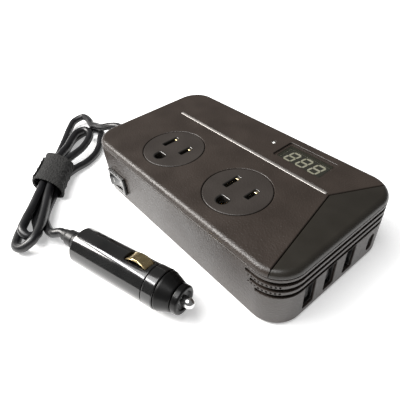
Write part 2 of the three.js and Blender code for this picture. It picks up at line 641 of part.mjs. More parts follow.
// ---------- plug, built along +X from the back of its body ----------
function plugBody() {
  const r = PLUG.radius;
  const outer = turned([[3.2, 0], [3.2, 6.8], [3.8, 8.2], [5.2, r], [47, r], [47, 0]], 32);
  const bore = rodX(8, 60, 0, 0, 4.2, 20);
  const pocket = block(PLUG_CONTACT.start - GAP, PLUG_CONTACT.end + GAP, -PLUG_CONTACT.width / 2 - GAP,
    PLUG_CONTACT.width / 2 + GAP, 5.9, 12);
  const turn = (angle) => pocket.rotate([angle, 0, 0]);
  return cut(outer, bore, turn(PLUG_CONTACT.angle - 90), turn(PLUG_CONTACT.angle + 90));
}

function plugCollar() {
  const r = PLUG.radius;
  return turned([[47.3, 4.2], [47.3, r + 0.2], [52.6, r + 0.2], [53, r - 0.1], [53, 4.2], [47.3, 4.2]], 32);
}

function plugNose() {
  return turned([[53.3, 4.2], [53.3, 9], [54, 9], [59.8, 6.9], [60, 4.2], [53.3, 4.2]], 32);
}

function plugRing() {
  const profile = [[60.3, 2.8], [60.3, 6.3], [60.9, 6.6], [63, 6.6], [63.6, 6], [63.6, 2.8], [60.3, 2.8]];
  return turned(profile, 24);
}

function plugPin() {
  return turned([[56.8, 0], [56.8, 3.8], [59.6, 3.8], [59.8, 2.4], [66.2, 2.4], [67.6, 1.6], [68, 0]], 18);
}

function plugFuse() {
  return turned([[31.5, 0], [31.5, 2.9], [56.5, 2.9], [56.5, 0]], 16);
}

// The coil is drawn at its pressed length, which leaves the pin and fuse room to travel.
function plugSpring() {
  const turns = 4.5;
  const start = 9;
  const end = 31.5 - GAP - PIN_TRAVEL - 0.7;
  class Helix extends THREE.Curve {
    getPoint(t, target = new THREE.Vector3()) {
      const a = 2 * Math.PI * turns * t;
      return target.set(start + (end - start) * t, 3 * Math.cos(a), 3 * Math.sin(a));
    }
  }
  const section = new THREE.Shape();
  for (let i = 0; i < 6; i += 1) {
    section[i ? 'lineTo' : 'moveTo'](0.45 * Math.cos((i * Math.PI) / 3), 0.45 * Math.sin((i * Math.PI) / 3));
  }
  section.closePath();
  return solid(new THREE.ExtrudeGeometry(section, { extrudePath: new Helix(), steps: 56 }));
}

function plugBoot() {
  return turned([[-BOOT_LENGTH, 0], [-BOOT_LENGTH, 2.9], [-8, 3.2], [-6, 4.3], [2.9, 4.9], [2.9, 0]], 20);
}

// A bowed leaf that stands proud of the body in the middle.
function plugContact() {
  const { start, end, width, thickness, root, crown } = PLUG_CONTACT;
  const middle = (start + end) / 2;
  const outline = new THREE.Shape();
  outline.moveTo(start, root);
  outline.quadraticCurveTo(middle, crown, end, root);
  outline.lineTo(end - 0.4, root - thickness);
  outline.quadraticCurveTo(middle, crown - 1.35 * thickness, start + 0.4, root - thickness);
  outline.closePath();
  return prism(outline, -width / 2, width / 2, 10).rotate([90, 0, 0]);
}

// ---------- assembly ----------
add('base_shell', baseShell(), texturedBlack);
add('top_cover', topCover(), texturedBlack);
add('end_panel', endPanel(), smoothBlack);
corners.forEach(([sx, sy], i) => add(`case_screw_${i + 1}`, caseScrew(sx * SCREW.x, sy * SCREW.y), steel));
[-1, 1].forEach((side, i) => {
  add(`rubber_foot_${i + 1}`, footStrip(side, 0, CASE_BOTTOM + FOOT.recess - GAP), rubberBlack);
});
add('trim_strip', block(STRIP.x0 + GAP, STRIP.x1 - GAP, STRIP.y - STRIP.width / 2, STRIP.y + STRIP.width / 2,
  CASE_TOP - STRIP.depth, CASE_TOP + 0.1), silver);

OUTLET.x.forEach((x, i) => {
  const n = i + 1;
  add(`outlet_face_${n}`, outletFace(x), smoothBlack);
  add(`outlet_body_${n}`, outletBody(x), whitePlastic);
  add(`neutral_contact_${n}`, bladeContact(x - bladeX, BLADE.neutral), brass);
  add(`hot_contact_${n}`, bladeContact(x + bladeX, BLADE.hot), brass);
  add(`ground_contact_${n}`, groundContact(x), brass);
});

const windowTop = CASE_TOP - DISPLAY.recess;
add('display_window', displayBlock(0, windowTop - DISPLAY.window, windowTop), tintedWindow);
add('display_module', displayModule(), digitGlow);
add('status_led', statusLed(), whitePlastic);

USB_A.y.forEach((y, i) => {
  add(`usb_socket_${i + 1}`, socketShell(y, USB_A.z, USB_A.opening, USB_A.shell, USB_A.length), steel);
  add(`usb_tongue_${i + 1}`, usbTongue(y, USB_A.z), darkPlastic);
});
add('usb_c_socket', socketShell(USB_C.y, USB_C.z, USB_C.opening, USB_C.shell, USB_C.length), steel);
add('usb_c_tongue', usbcTongue(), darkPlastic);
add('usb_board', block(USB_BOARD.x0, USB_BOARD.x1, USB_BOARD.y0, USB_BOARD.y1, USB_BOARD.bottom,
  USB_BOARD.bottom + USB_BOARD.thickness), circuitGreen);

const { core, winding } = transformer();
add('main_board', block(BOARD.x0, BOARD.x1, BOARD.y0, BOARD.y1, BOARD.bottom, BOARD_TOP), circuitGreen);
add('transformer_core', core, ferrite);
add('transformer_winding', winding, copper);
add('heat_sink', heatSink(), steel);
[-24, -8].forEach((x, i) => add(`transistor_${i + 1}`, transistor(x), darkPlastic));
[13, 27].forEach((y, i) => add(`capacitor_${i + 1}`, capacitor(6, y), darkPlastic));
add('choke_coil', chokeCoil(), copper);

add('switch_housing', switchHousing(), glossBlack);
const rocker = add('switch_rocker', rockerSolid(), glossBlack);
rocker.position.set(SWITCH.x, -HALF_WIDTH + 0.7, SWITCH.z);
rocker.rotation.z = rad(SWITCH.tilt);

add('fan_frame', fanFrame(), darkPlastic);
const rotor = add('fan_rotor', fanRotor(), darkPlastic);
rotor.position.set(0, FAN.y, FAN.z);

add('cord_gland', cordGland(), rubberBlack);
add('cord_lead', cordUpToHank(leadRoute, 12), cordBlack);
add('cord_hank', hankPrism(0, HANK.bottom, HANK.top), cordBlack);
add('cord_tie', cordTie(), fabricBlack);
add('cord_plug_lead', cordUpToHank(plugLeadRoute, 12), cordBlack);

const plug = new THREE.Group();
plug.position.set(PLUG.x, PLUG.y, PLUG.z);
plug.rotation.z = rad(PLUG.angle);
inverter.add(plug);
add('plug_strain_relief', plugBoot(), rubberBlack, plug);
add('plug_body', plugBody(), glossBlack, plug);
add('plug_collar', plugCollar(), glossBlack, plug);
add('plug_nose', plugNose(), darkPlastic, plug);
add('plug_retaining_ring', plugRing(), darkPlastic, plug);
add('plug_pin', plugPin(), silver, plug);
add('plug_fuse', plugFuse(), whitePlastic, plug);
add('plug_spring', plugSpring(), steel, plug);
[0, 180].forEach((turn, i) => {
  const contact = add(`plug_contact_${i + 1}`, plugContact(), brass, plug);
  contact.rotation.x = rad(PLUG_CONTACT.angle - 90 + turn);
});

export default inverter;
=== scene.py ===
# Looks for the power inverter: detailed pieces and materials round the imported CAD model.
# Lengths are in millimetres from the middle of the case until an object is made, then in metres.
from math import atan2, copysign, cos, degrees, exp, pi, radians, sin, sqrt, tan

import bmesh
import bpy
from mathutils import Matrix, Vector
from mathutils.geometry import delaunay_2d_cdt


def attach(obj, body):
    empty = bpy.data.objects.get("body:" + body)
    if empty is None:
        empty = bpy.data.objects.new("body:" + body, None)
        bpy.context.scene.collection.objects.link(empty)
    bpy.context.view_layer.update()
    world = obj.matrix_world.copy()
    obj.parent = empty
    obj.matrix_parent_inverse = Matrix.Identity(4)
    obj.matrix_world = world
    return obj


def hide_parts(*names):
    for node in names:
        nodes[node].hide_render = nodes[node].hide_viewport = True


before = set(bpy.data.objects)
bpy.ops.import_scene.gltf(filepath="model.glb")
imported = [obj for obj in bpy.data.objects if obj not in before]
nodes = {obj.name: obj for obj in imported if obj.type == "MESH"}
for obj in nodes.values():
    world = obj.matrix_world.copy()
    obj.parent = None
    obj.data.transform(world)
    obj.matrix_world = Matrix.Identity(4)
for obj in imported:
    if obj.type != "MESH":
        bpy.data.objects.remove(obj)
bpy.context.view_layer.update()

MM = 0.001
SHIFT_Y = 1.45  # the row frame's origin is this far from the case's middle, towards the switch
TO_ROW = Matrix.Translation((0, SHIFT_Y * MM, 0)) @ Matrix.Diagonal((MM, MM, MM, 1))

# ---- driving dimensions, as in the CAD ----
GAP = 0.3  # between neighbouring pieces
CASE_LENGTH, CASE_WIDTH, CORNER = 141, 77.8, 13.3
CASE_BOTTOM, CASE_TOP = 0.8, 33.1
HALF_LENGTH, HALF_WIDTH = CASE_LENGTH / 2, CASE_WIDTH / 2
FILLET = 3  # round the lid's upper edge
LID_BOTTOM = CASE_TOP - FILLET
WALL = 2.2
FOOT_X, FOOT_SIZE = 46, (8, 56)
SCREW_X, SCREW_Y, SCREW_HOLE = 60.5, 31, 3.1
OUTLET_X, OUTLET_Y, OUTLET_RADIUS = (-25.8, 22.2), -13.8, 16.15
BLADE_SPACING, BLADE_WIDTH, HOT, NEUTRAL = 12.7, 2.3, 7.2, 9.2
BLADE_Y = OUTLET_Y + 2.8
GROUND_DROP, GROUND_RADIUS = 11.9, 2.7
STRIP_X, STRIP_Y, STRIP_WIDTH = (-53.6, 50.9), 12.4, 1.4
# The seam round the end panel: its corner, and where it meets the two long sides.
APEX, NEAR, FAR = (52, 12.4), (63.2, -HALF_WIDTH), (66.4, HALF_WIDTH)
DISPLAY_AT, DISPLAY_SIZE, DISPLAY_MARGIN, DISPLAY_RECESS = (28, 25.7), (26, 11.4), 1.4, 0.9
LED_AT, LED_RADIUS = (7.2, 26.8), 0.9
# Openings are width and height, and the sheet is the metal round them.
USB_A_Y, USB_A_Z, USB_A_OPENING, USB_A_SHEET = (-20.1, -6.7, 6.7), 11.2, (5.12, 12.5), 0.4
USB_C_Y, USB_C_Z, USB_C_OPENING, USB_C_SHEET = 23, 9.9, (2.56, 8.34), 0.32
SOCKET_FRONT, SOCKET_ROOM = HALF_LENGTH - 0.9, 0.4
GROOVE_Z, GROOVE_STARTS, GROOVE_WIDTH, GROOVE_DEPTH = (27.2, 23.4, 19.6), (52.4, 55, 57.7), 2, 1.3
SWITCH_X, SWITCH_Z, SWITCH_HOLE, BEZEL = -48.5, 12, (14.6, 9.8), (16.4, 11.6)
ROCKER_TILT, ROCKER_HALF = radians(11), 5.6
FAN_Y, FAN_Z, GRILLE_SLOTS, GRILLE_PITCH, GRILLE_SLOT, GRILLE_HEIGHT = 13.5, 16.5, 6, 3.5, 2, 19
GLAND_Y, GLAND_Z, GLAND_LENGTH, GLAND_HOLE = -11.6, 17, 17, 4.4
CORD = 4.8
HANK_X, HANK_Y, HANK_ANGLE = -88, -60, radians(-40)
PLUG_X, PLUG_Y, PLUG_Z, PLUG_ANGLE, PLUG_RADIUS = -21.95, -77.4, 10.9, radians(16.5), 9.15
BOOT_LENGTH = 10
CONTACT_ANGLES = (75, 255)

# ---- camera ----
scene = bpy.context.scene
camera_data = bpy.data.cameras.new("camera")
camera_data.lens = 34.287
camera_data.sensor_width = 36
camera_data.clip_start = 0.01
camera = bpy.data.objects.new("camera", camera_data)
scene.collection.objects.link(camera)
right_up_back = Matrix(((0.6349, 0.7696, -0.0676), (-0.4784, 0.4603, 0.7479), (0.6067, -0.4425, 0.6604)))
camera.matrix_world = Matrix.Translation((0.11745, -0.103, 0.14398)) @ right_up_back.transposed().to_4x4()
scene.camera = camera


# ---- placing ----
def hank_point(along, across, z):
    """A point given along and across the bundled cord."""
    c, s = cos(HANK_ANGLE), sin(HANK_ANGLE)
    return (HANK_X + along * c - across * s, HANK_Y + along * s + across * c, z)


def plug_point(along):
    """A point on the plug's axis."""
    return (PLUG_X + along * cos(PLUG_ANGLE), PLUG_Y + along * sin(PLUG_ANGLE), PLUG_Z)


def placed(point, angle, axis):
    """The way to the row frame for a piece that is built at its own origin and turned."""
    return TO_ROW @ Matrix.Translation(point) @ Matrix.Rotation(angle, 4, axis)


# ---- cord ----
def smooth_path(points, step):
    """Points along a centripetal Catmull-Rom curve through the given ones."""
    pts = [Vector(p) for p in points]
    pts = [2 * pts[0] - pts[1]] + pts + [2 * pts[-1] - pts[-2]]
    out = []
    for p0, p1, p2, p3 in zip(pts, pts[1:], pts[2:], pts[3:]):
        t1 = (p1 - p0).length ** 0.5
        t2 = t1 + (p2 - p1).length ** 0.5
        t3 = t2 + (p3 - p2).length ** 0.5
        count = max(2, round((p2 - p1).length / step))
        for k in range(count):
            t = t1 + (t2 - t1) * k / count
            a1 = p0.lerp(p1, t / t1)
            a2 = p1.lerp(p2, (t - t1) / (t2 - t1))
            a3 = p2.lerp(p3, (t - t2) / (t3 - t2))
            b1 = a1.lerp(a2, t / t2)
            b2 = a2.lerp(a3, (t - t1) / (t3 - t1))
            out.append(b1.lerp(b2, (t - t1) / (t2 - t1)))
    return out + [pts[-2]]


lead_route = [
    (-HALF_LENGTH - 2 * GAP - GLAND_LENGTH, GLAND_Y, GLAND_Z), (-94.5, -12, 17), (-99.6, -14.2, 16.1),
    (-105.4, -16.3, 14), (-112, -17.2, 11.4), (-119, -16.9, 9.4), (-125.4, -17.6, 7.8),
]
# Along, across and height of the bundle's five runs and the loops between them.
hank_route = [
    # the first loop, and the first run to the plug end
    (-61.6, 5.6, 7.2), (-67.8, 2, 6.4), (-73, -3.2, 5.4), (-69.6, -9, 4.2), (-60, -10.4, 3.3),
    (-46, -10, 2.8), (-30, -9.3, 3), (-12, -8.4, 4), (8, -8.5, 4), (22, -9.2, 3.2), (38, -9.6, 2.5),
    (48.5, -9.4, 2.5), (55.6, -7.6, 2.9), (58.2, -2.8, 4.4), (55.4, 2.2, 6.6), (47.6, 3.4, 7.3),
    # the second run, back towards the case
    (34, 2, 7.4), (20, -0.1, 7.9), (8, -0.9, 8.2), (-8, -0.7, 8.2), (-18, 3.4, 7.2), (-28, 7.2, 6.2),
    (-38, 9, 6), (-46, 8.8, 6.6), (-50.6, 4.4, 7.3), (-47.4, -0.5, 7.3),
    # the third
    (-40, -2.1, 7.3), (-30, -2.7, 7.3), (-20, -4.6, 7.6), (-9, -5.7, 8.2), (8, -5.8, 8.2), (20, -5.8, 8),
    (32, -6, 7.4), (41, -6.4, 7.1), (47.6, -5.9, 6.7), (50.8, -2.2, 5.2), (48.2, 1.2, 3.5),
    # the fourth
    (42, -1, 2.5), (36, -3.9, 2.5), (30, -4.7, 2.5), (20, -4.5, 3.2), (8, -3.6, 4), (-9, -3.6, 4),
    (-22, -4.5, 2.6), (-38, -5.1, 2.5), (-47.4, -3, 2.5), (-55, 2.4, 2.5), (-58.4, 9, 2.5),
    # the fifth, which bows out beside the others
    (-54, 14.2, 2.5), (-46, 15.6, 2.5), (-36, 16.9, 2.5), (-26, 16.2, 2.5), (-17, 12.6, 2.7),
    (-8.5, 6.6, 3.5), (0, 2.6, 4), (10, 1.3, 4), (20, 0.4, 3.2), (30, 0, 2.5),
    # up to the plug
    (36.4, 1.2, 2.5), (41.2, 3.8, 2.6), (45.8, 7, 3.7), (50, 10.4, 6.4), (53.9, 13.9, 9.7),
]
plug_end = [plug_point(-BOOT_LENGTH - 2.6), plug_point(-BOOT_LENGTH - GAP)]
cord_route = lead_route + [hank_point(*p) for p in hank_route] + plug_end
cord_line = smooth_path(cord_route, 0.8)


# ---- materials ----
def new_material(name, color, roughness, metallic=0.0, coat=0.0):
    """A principled material with its node helpers: (material, tree, shader)."""
    material = bpy.data.materials.new(name)
    material.use_nodes = True
    tree = material.node_tree
    shader = tree.nodes["Principled BSDF"]
    shader.inputs["Base Color"].default_value = (*color, 1)
    shader.inputs["Roughness"].default_value = roughness
    shader.inputs["Metallic"].default_value = metallic
    shader.inputs["Coat Weight"].default_value = coat
    shader.inputs["IOR"].default_value = 1.5
    return material, tree, shader


def noise(tree, scale, detail=2.0, stretch=(1, 1, 1)):
    """The strength of a noise texture fixed to the object."""
    place = tree.nodes.new("ShaderNodeTexCoord")
    mapping = tree.nodes.new("ShaderNodeMapping")
    mapping.inputs["Scale"].default_value = stretch
    texture = tree.nodes.new("ShaderNodeTexNoise")
    texture.inputs["Scale"].default_value = scale
    texture.inputs["Detail"].default_value = detail
    tree.links.new(place.outputs["Object"], mapping.inputs["Vector"])
    tree.links.new(mapping.outputs["Vector"], texture.inputs["Vector"])
    return texture.outputs["Fac"]


def ramp(tree, source, low, high, start=0.35, end=0.65):
    """Turns a strength into a colour between low and high."""
    node = tree.nodes.new("ShaderNodeValToRGB")
    node.color_ramp.elements[0].position = start
    node.color_ramp.elements[1].position = end
    node.color_ramp.elements[0].color = (*low, 1)
    node.color_ramp.elements[1].color = (*high, 1)
    tree.links.new(source, node.inputs["Fac"])
    return node.outputs["Color"]


def add_bump(tree, shader, height, distance, strength=1.0):
    bump = tree.nodes.new("ShaderNodeBump")
    bump.inputs["Distance"].default_value = distance
    bump.inputs["Strength"].default_value = strength
    tree.links.new(height, bump.inputs["Height"])
    tree.links.new(bump.outputs["Normal"], shader.inputs["Normal"])


def plastic(name, color, roughness, variation=0.12, grain=900.0, depth=0.00003, coat=0.0, specular=0.5):
    """Moulded plastic: slight colour and gloss variation, and a fine grain."""
    material, tree, shader = new_material(name, color, roughness, coat=coat)
    shader.inputs["Specular IOR Level"].default_value = specular
    dark = tuple(c * (1 - variation) for c in color)
    light = tuple(c * (1 + variation) for c in color)
    blotches = noise(tree, 60)
    tree.links.new(ramp(tree, blotches, dark, light), shader.inputs["Base Color"])
    gloss = ramp(tree, blotches, (roughness - 0.03,) * 3, (roughness + 0.04,) * 3)
    tree.links.new(gloss, shader.inputs["Roughness"])
    if depth:
        add_bump(tree, shader, noise(tree, grain, 1), depth)
    return material


def metal(name, color, roughness, stretch=(1, 1, 1), scale=700.0):
    """Metal with fine marks, drawn out along one axis where it is brushed."""
    material, tree, shader = new_material(name, color, roughness, metallic=1.0)
    marks = noise(tree, scale, 3, stretch)
    dull = tuple(c * 0.86 for c in color)
    tree.links.new(ramp(tree, marks, dull, color), shader.inputs["Base Color"])
    gloss = ramp(tree, marks, (roughness * 0.8,) * 3, (roughness * 1.3,) * 3)
    tree.links.new(gloss, shader.inputs["Roughness"])
    return material


def fabric(name, color):
    """A dense looped weave."""
    material, tree, shader = new_material(name, color, 0.85)
    shader.inputs["Sheen Weight"].default_value = 0.05
    shader.inputs["Sheen Roughness"].default_value = 0.4
    weave = tree.nodes.new("ShaderNodeTexVoronoi")
    weave.inputs["Scale"].default_value = 800
    place = tree.nodes.new("ShaderNodeTexCoord")
    tree.links.new(place.outputs["Object"], weave.inputs["Vector"])
    dark = tuple(c * 0.45 for c in color)
    tree.links.new(ramp(tree, weave.outputs["Distance"], color, dark, 0.1, 0.8), shader.inputs["Base Color"])
    add_bump(tree, shader, weave.outputs["Distance"], 0.0005, 0.9)
    return material


def digit_material():
    """Pale plastic that glows a little."""
    material, tree, shader = new_material("digits", (0.75, 0.77, 0.62), 0.5)
    color = ramp(tree, noise(tree, 400), (0.5, 0.5, 0.36), (0.62, 0.6, 0.48))
    tree.links.new(color, shader.inputs["Emission Color"])
    shader.inputs["Emission Strength"].default_value = 0.25
    tree.links.new(color, shader.inputs["Base Color"])
    return material


def window_material():
    """Tinted clear plastic: half see-through, with a gloss."""
    material, tree, shader = new_material("window_tint", (0.03, 0.03, 0.022), 0.06)
    gloss = ramp(tree, noise(tree, 200), (0.04, 0.04, 0.06), (0.08, 0.08, 0.1))
    tree.links.new(gloss, shader.inputs["Roughness"])
    shader.inputs["Alpha"].default_value = 0.5
    return material


case_textured = plastic("case_textured", (0.026, 0.019, 0.015), 0.37, 0.12, 1400, 0.00016)
case_smooth = plastic("case_smooth", (0.015, 0.013, 0.01), 0.32, 0.1, 1400, 0.00003)
face_plastic = plastic("face_plastic", (0.026, 0.021, 0.018), 0.4, 0.1, 1400, 0.0001)
slot_edge = plastic("slot_edge", (0.02, 0.018, 0.016), 0.2, 0.1, 1400, 0)
gloss_black = plastic("gloss_black", (0.009, 0.009, 0.009), 0.12, 0.2, 300, 0.000004, coat=0.4)
nose_black = plastic("nose_black", (0.004, 0.004, 0.004), 0.3, 0.15, 1200, 0.00001, specular=0.25)
rubber_black = plastic("rubber_black", (0.01, 0.01, 0.01), 0.42, 0.15, 1100, 0.00003)
cord_jacket = plastic("cord_jacket", (0.008, 0.008, 0.009), 0.34, 0.18, 420, 0.00002)
dark_plastic = plastic("dark_plastic", (0.018, 0.018, 0.018), 0.5, 0.2, 900, 0.00003)
pale_plastic = plastic("pale_plastic", (0.7, 0.7, 0.66), 0.4, 0.05, 900, 0.00002)
led_white = plastic("led_white", (0.85, 0.85, 0.82), 0.25, 0.03, 900, 0)
board_green = plastic("board_green", (0.02, 0.13, 0.05), 0.3, 0.25, 300, 0.00002)
ferrite = plastic("ferrite", (0.055, 0.055, 0.06), 0.6, 0.15, 900, 0.00003)
mark_paint = plastic("mark_paint", (0.55, 0.55, 0.53), 0.5, 0.05, 900, 0)
silver = metal("silver", (0.62, 0.59, 0.56), 0.45, (0.05, 1, 1), 120)
steel = metal("steel", (0.55, 0.55, 0.56), 0.3)
socket_steel = metal("socket_steel", (0.1, 0.1, 0.1), 0.35)
bright_steel = metal("bright_steel", (0.8, 0.8, 0.8), 0.18)
brass = metal("brass", (0.7, 0.55, 0.3), 0.24, (1, 0.1, 1))
copper = metal("copper", (0.66, 0.26, 0.1), 0.35, (0.2, 1, 1))
strap_fabric = fabric("strap_fabric", (0.007, 0.007, 0.0065))
digits = digit_material()
window_tint = window_material()


# ---- mesh building ----
def finish_mesh(name, bm, material, body="case", slot=None, replaces=None, place=TO_ROW, sharp=35,
                weighted=True):
    """Turns a bmesh in millimetres into a piece that rides on a body.

    Unless told otherwise it replaces the CAD node of its own name. The slot argument is not used.
    """
    materials = material if isinstance(material, list) else [material]
    bmesh.ops.remove_doubles(bm, verts=bm.verts, dist=1e-4)
    bmesh.ops.recalc_face_normals(bm, faces=bm.faces)
    mesh = bpy.data.meshes.new(f"{name}_look")
    bm.to_mesh(mesh)
    bm.free()
    mesh.transform(place)
    mesh.shade_smooth()
    mesh.set_sharp_from_angle(angle=radians(sharp))
    obj = bpy.data.objects.new(f"{name}_look", mesh)
    scene.collection.objects.link(obj)
    for each in materials:
        mesh.materials.append(each)
    if weighted:
        modifier = obj.modifiers.new("even shading", "WEIGHTED_NORMAL")
        modifier.keep_sharp = True
    replaces = (name,) if replaces is None else replaces
    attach(obj, body)
    if replaces:
        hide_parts(*replaces)
    return obj


def loft(bm, rings, closed=True, material=0):
    """Quads between rings with the same number of points."""
    made = [[bm.verts.new(p) for p in ring] for ring in rings]
    for a, b in zip(made, made[1:]):
        count = len(a)
        for i in range(count if closed else count - 1):
            j = (i + 1) % count
            bm.faces.new((a[i], a[j], b[j], b[i])).material_index = material
    return made


def capped_loft(bm, rings):
    made = loft(bm, rings)
    for ring in (made[0], made[-1]):
        bm.faces.new(ring)


def arc(cx, cy, radius, start, end, count):
    """Points on an arc, angles in degrees, both ends included."""
    steps = [radians(start + (end - start) * i / count) for i in range(count + 1)]
    return [(cx + radius * cos(a), cy + radius * sin(a)) for a in steps]


def rounded_rect(length, width, radius, steps, cx=0, cy=0):
    x, y = length / 2 - radius, width / 2 - radius
    out = []
    for sx, sy, start in ((1, 1, 0), (-1, 1, 90), (-1, -1, 180), (1, -1, 270)):
        out += arc(cx + sx * x, cy + sy * y, radius, start, start + 90, steps)
    return out


def stadium(x0, x1, y, width, steps=6):
    """A slot with round ends, from x0 to x1."""
    r = width / 2
    return arc(x0 + r, y, r, 90, 270, steps) + arc(x1 - r, y, r, 270, 450, steps)


def circle(cx, cy, radius, count):
    return arc(cx, cy, radius, 0, 360, count)[:-1]


def hoop(x, radius, sides):
    """Points of a circle round the X axis."""
    turns = [2 * pi * i / sides for i in range(sides)]
    return [(x, radius * cos(a), radius * sin(a)) for a in turns]


def inside(point, loop):
    hit = False
    for (x0, y0), (x1, y1) in zip(loop, loop[1:] + loop[:1]):
        if (y0 > point[1]) != (y1 > point[1]) and point[0] < x0 + (point[1] - y0) * (x1 - x0) / (y1 - y0):
            hit = not hit
    return hit


def fill_with_holes(bm, outline, holes, to_3d, material=0, rulers=()):
    """Faces of a flat layout with holes, mapped to 3D. rulers are extra lines that the faces follow."""
    points, edges = [], []
    for loop in [outline, *holes]:
        first = len(points)
        points += [Vector(p) for p in loop]
        edges += [(first + i, first + (i + 1) % len(loop)) for i in range(len(loop))]
    for a, b in rulers:
        points += [Vector(a), Vector(b)]
        edges.append((len(points) - 2, len(points) - 1))
    verts, _, faces, *_ = delaunay_2d_cdt(points, edges, [], 0, 1e-5)
    made = {}
    for face in faces:
        middle = sum((verts[i] for i in face), Vector((0, 0))) / len(face)
        if not inside(middle, outline) or any(inside(middle, h) for h in holes):
            continue
        for i in face:
            if i not in made:
                made[i] = bm.verts.new(to_3d(*verts[i]))
        bm.faces.new([made[i] for i in face]).material_index = material


def turned(profile, sides):
    """A piece turned about X, closed at both ends. The profile is (x, radius) pairs."""
    bm = bmesh.new()
    capped_loft(bm, [hoop(x, radius, sides) for x, radius in profile])
    return bm


def round_off(profile, radius, steps=4):
    """Rounds the inner corners of an open (x, r) outline."""
    pts = [Vector(p) for p in profile]
    out = [pts[0]]
    for a, b, c in zip(pts, pts[1:], pts[2:]):
        reach = min(radius, (a - b).length * 0.45, (c - b).length * 0.45)
        start, end = b + (a - b).normalized() * reach, b + (c - b).normalized() * reach
        for i in range(steps + 1):
            t = i / steps
            out.append(start.lerp(b, t).lerp(b.lerp(end, t), t))
    return [tuple(p) for p in out + [pts[-1]]]


def add_box(bm, x_range, y_range, z_range, bevel, material=0):
    """A block with rounded edges."""
    ranges = (x_range, y_range, z_range)
    made = bmesh.ops.create_cube(bm, size=1)["verts"]
    for v in made:
        v.co = [(low + high) / 2 + at * (high - low) for at, (low, high) in zip(v.co, ranges)]
    for face in {f for v in made for f in v.link_faces}:
        face.material_index = material
    edges = list({e for v in made for e in v.link_edges})
    bmesh.ops.bevel(bm, geom=edges, offset=bevel, segments=3, profile=0.5, affect="EDGES")


def about(middle, half):
    return (middle - half, middle + half)


def split_loop(loop, axis, values):
    """Adds points where a closed loop crosses lines of one coordinate, so that it can follow a bend."""
    out = []
    for a, b in zip(loop, loop[1:] + loop[:1]):
        out.append(a)
        low, high = sorted((a[axis], b[axis]))
        crossed = [v for v in values if low + 0.01 < v < high - 0.01]
        if a[axis] > b[axis]:
            crossed = crossed[::-1]
        for v in crossed:
            t = (v - a[axis]) / (b[axis] - a[axis])
            out.append((a[0] + (b[0] - a[0]) * t, a[1] + (b[1] - a[1]) * t))
    return out


def offset_loop(loop, amount):
    """Moves a closed counter-clockwise loop outwards, with mitred corners."""
    if not amount:
        return list(loop)
    out = []
    for a, b, c in zip(loop[-1:] + loop[:-1], loop, loop[1:] + loop[:1]):
        first = Vector((b[1] - a[1], a[0] - b[0])).normalized()
        second = Vector((c[1] - b[1], b[0] - c[0])).normalized()
        mitre = (first + second) / max(0.4, 1 + first.dot(second))
        out.append((b[0] + mitre.x * amount, b[1] + mitre.y * amount))
    return out


def rolled_edge(radius, depth, steps=4):
    """(outset, depth) pairs for an edge that rolls over into a hole of this depth."""
    turns = [pi / 2 * i / steps for i in range(steps + 1)]
    return [(radius * (1 - sin(a)), radius * (1 - cos(a))) for a in turns] + [(0, depth)]


def inset_loft(bm, loop, to_3d, profile, material=0):
    """A loft of one loop at several (outset, depth) pairs."""
    loft(bm, [[to_3d(x, y, depth) for x, y in offset_loop(loop, outset)] for outset, depth in profile],
         material=material)


def recess(bm, loop, to_3d, profile, material=0, floor=False, floor_holes=(), rulers=()):
    """A hole, or a recess with a floor. Returns the loop to leave open in the surface round it."""
    inset_loft(bm, loop, to_3d, profile, material)
    if floor:
        outset, bottom = profile[-1]
        fill_with_holes(bm, offset_loop(loop, outset), floor_holes, lambda x, y: to_3d(x, y, bottom),
                        material, rulers)
    return offset_loop(loop, profile[0][0])


# ---- case: a walk round its side ----
CORNER_STEPS = 12
STRAIGHT_X, STRAIGHT_Y, CORNER_ARC = HALF_LENGTH - CORNER, HALF_WIDTH - CORNER, pi / 2 * CORNER
# (length, whether it bends). The walk starts in the middle of the display side and turns left, past the
# cord, the switch and the USB sockets.
WALK = [(STRAIGHT_X, False), (CORNER_ARC, True), (2 * STRAIGHT_Y, False), (CORNER_ARC, True),
        (2 * STRAIGHT_X, False), (CORNER_ARC, True), (2 * STRAIGHT_Y, False), (CORNER_ARC, True),
        (STRAIGHT_X, False)]
AROUND = sum(length for length, _ in WALK)
CORD_END_AT = STRAIGHT_X + CORNER_ARC + STRAIGHT_Y
SWITCH_SIDE_AT = CORD_END_AT + STRAIGHT_Y + CORNER_ARC + STRAIGHT_X
USB_END_AT = SWITCH_SIDE_AT + STRAIGHT_X + CORNER_ARC + STRAIGHT_Y


def wall_at(s, z, depth=0.0):
    """The point a distance s along the case's outline, at a height, and a depth in from the surface."""
    place, heading = Vector((0, HALF_WIDTH)), pi
    for length, bends in WALK:
        step = min(s, length)
        inward = Vector((-sin(heading), cos(heading)))
        if bends:
            centre, turned_by = place + inward * CORNER, step / CORNER
            heading += turned_by
            inward = Vector((-sin(heading), cos(heading)))
            place = centre - inward * CORNER
        else:
            place = place + Vector((cos(heading), sin(heading))) * step
        s -= step
        if s <= 1e-9:
            break
    place = place + inward * depth
    return (place.x, place.y, z)


def bend_lines():
    """Places along the walk where the wall bends, corner by corner."""
    lines, s = [], 0
    for length, bends in WALK:
        if bends:
            lines += [s + length * i / CORNER_STEPS for i in range(CORNER_STEPS + 1)]
        s += length
    return lines


BENDS = bend_lines()
FOOT_ROUND, RIM_ROUND = 1, 0.35
WALL_TOP, WALL_FOOT = LID_BOTTOM - GAP, CASE_BOTTOM + FOOT_ROUND


def wall_ring(z, inset):
    return [wall_at(s, z, inset) for s in [0, *BENDS]]


def on_side(x):
    """How far along the walk a place on the switch side is."""
    return SWITCH_SIDE_AT + x


def on_usb_end(y):
    return USB_END_AT + y


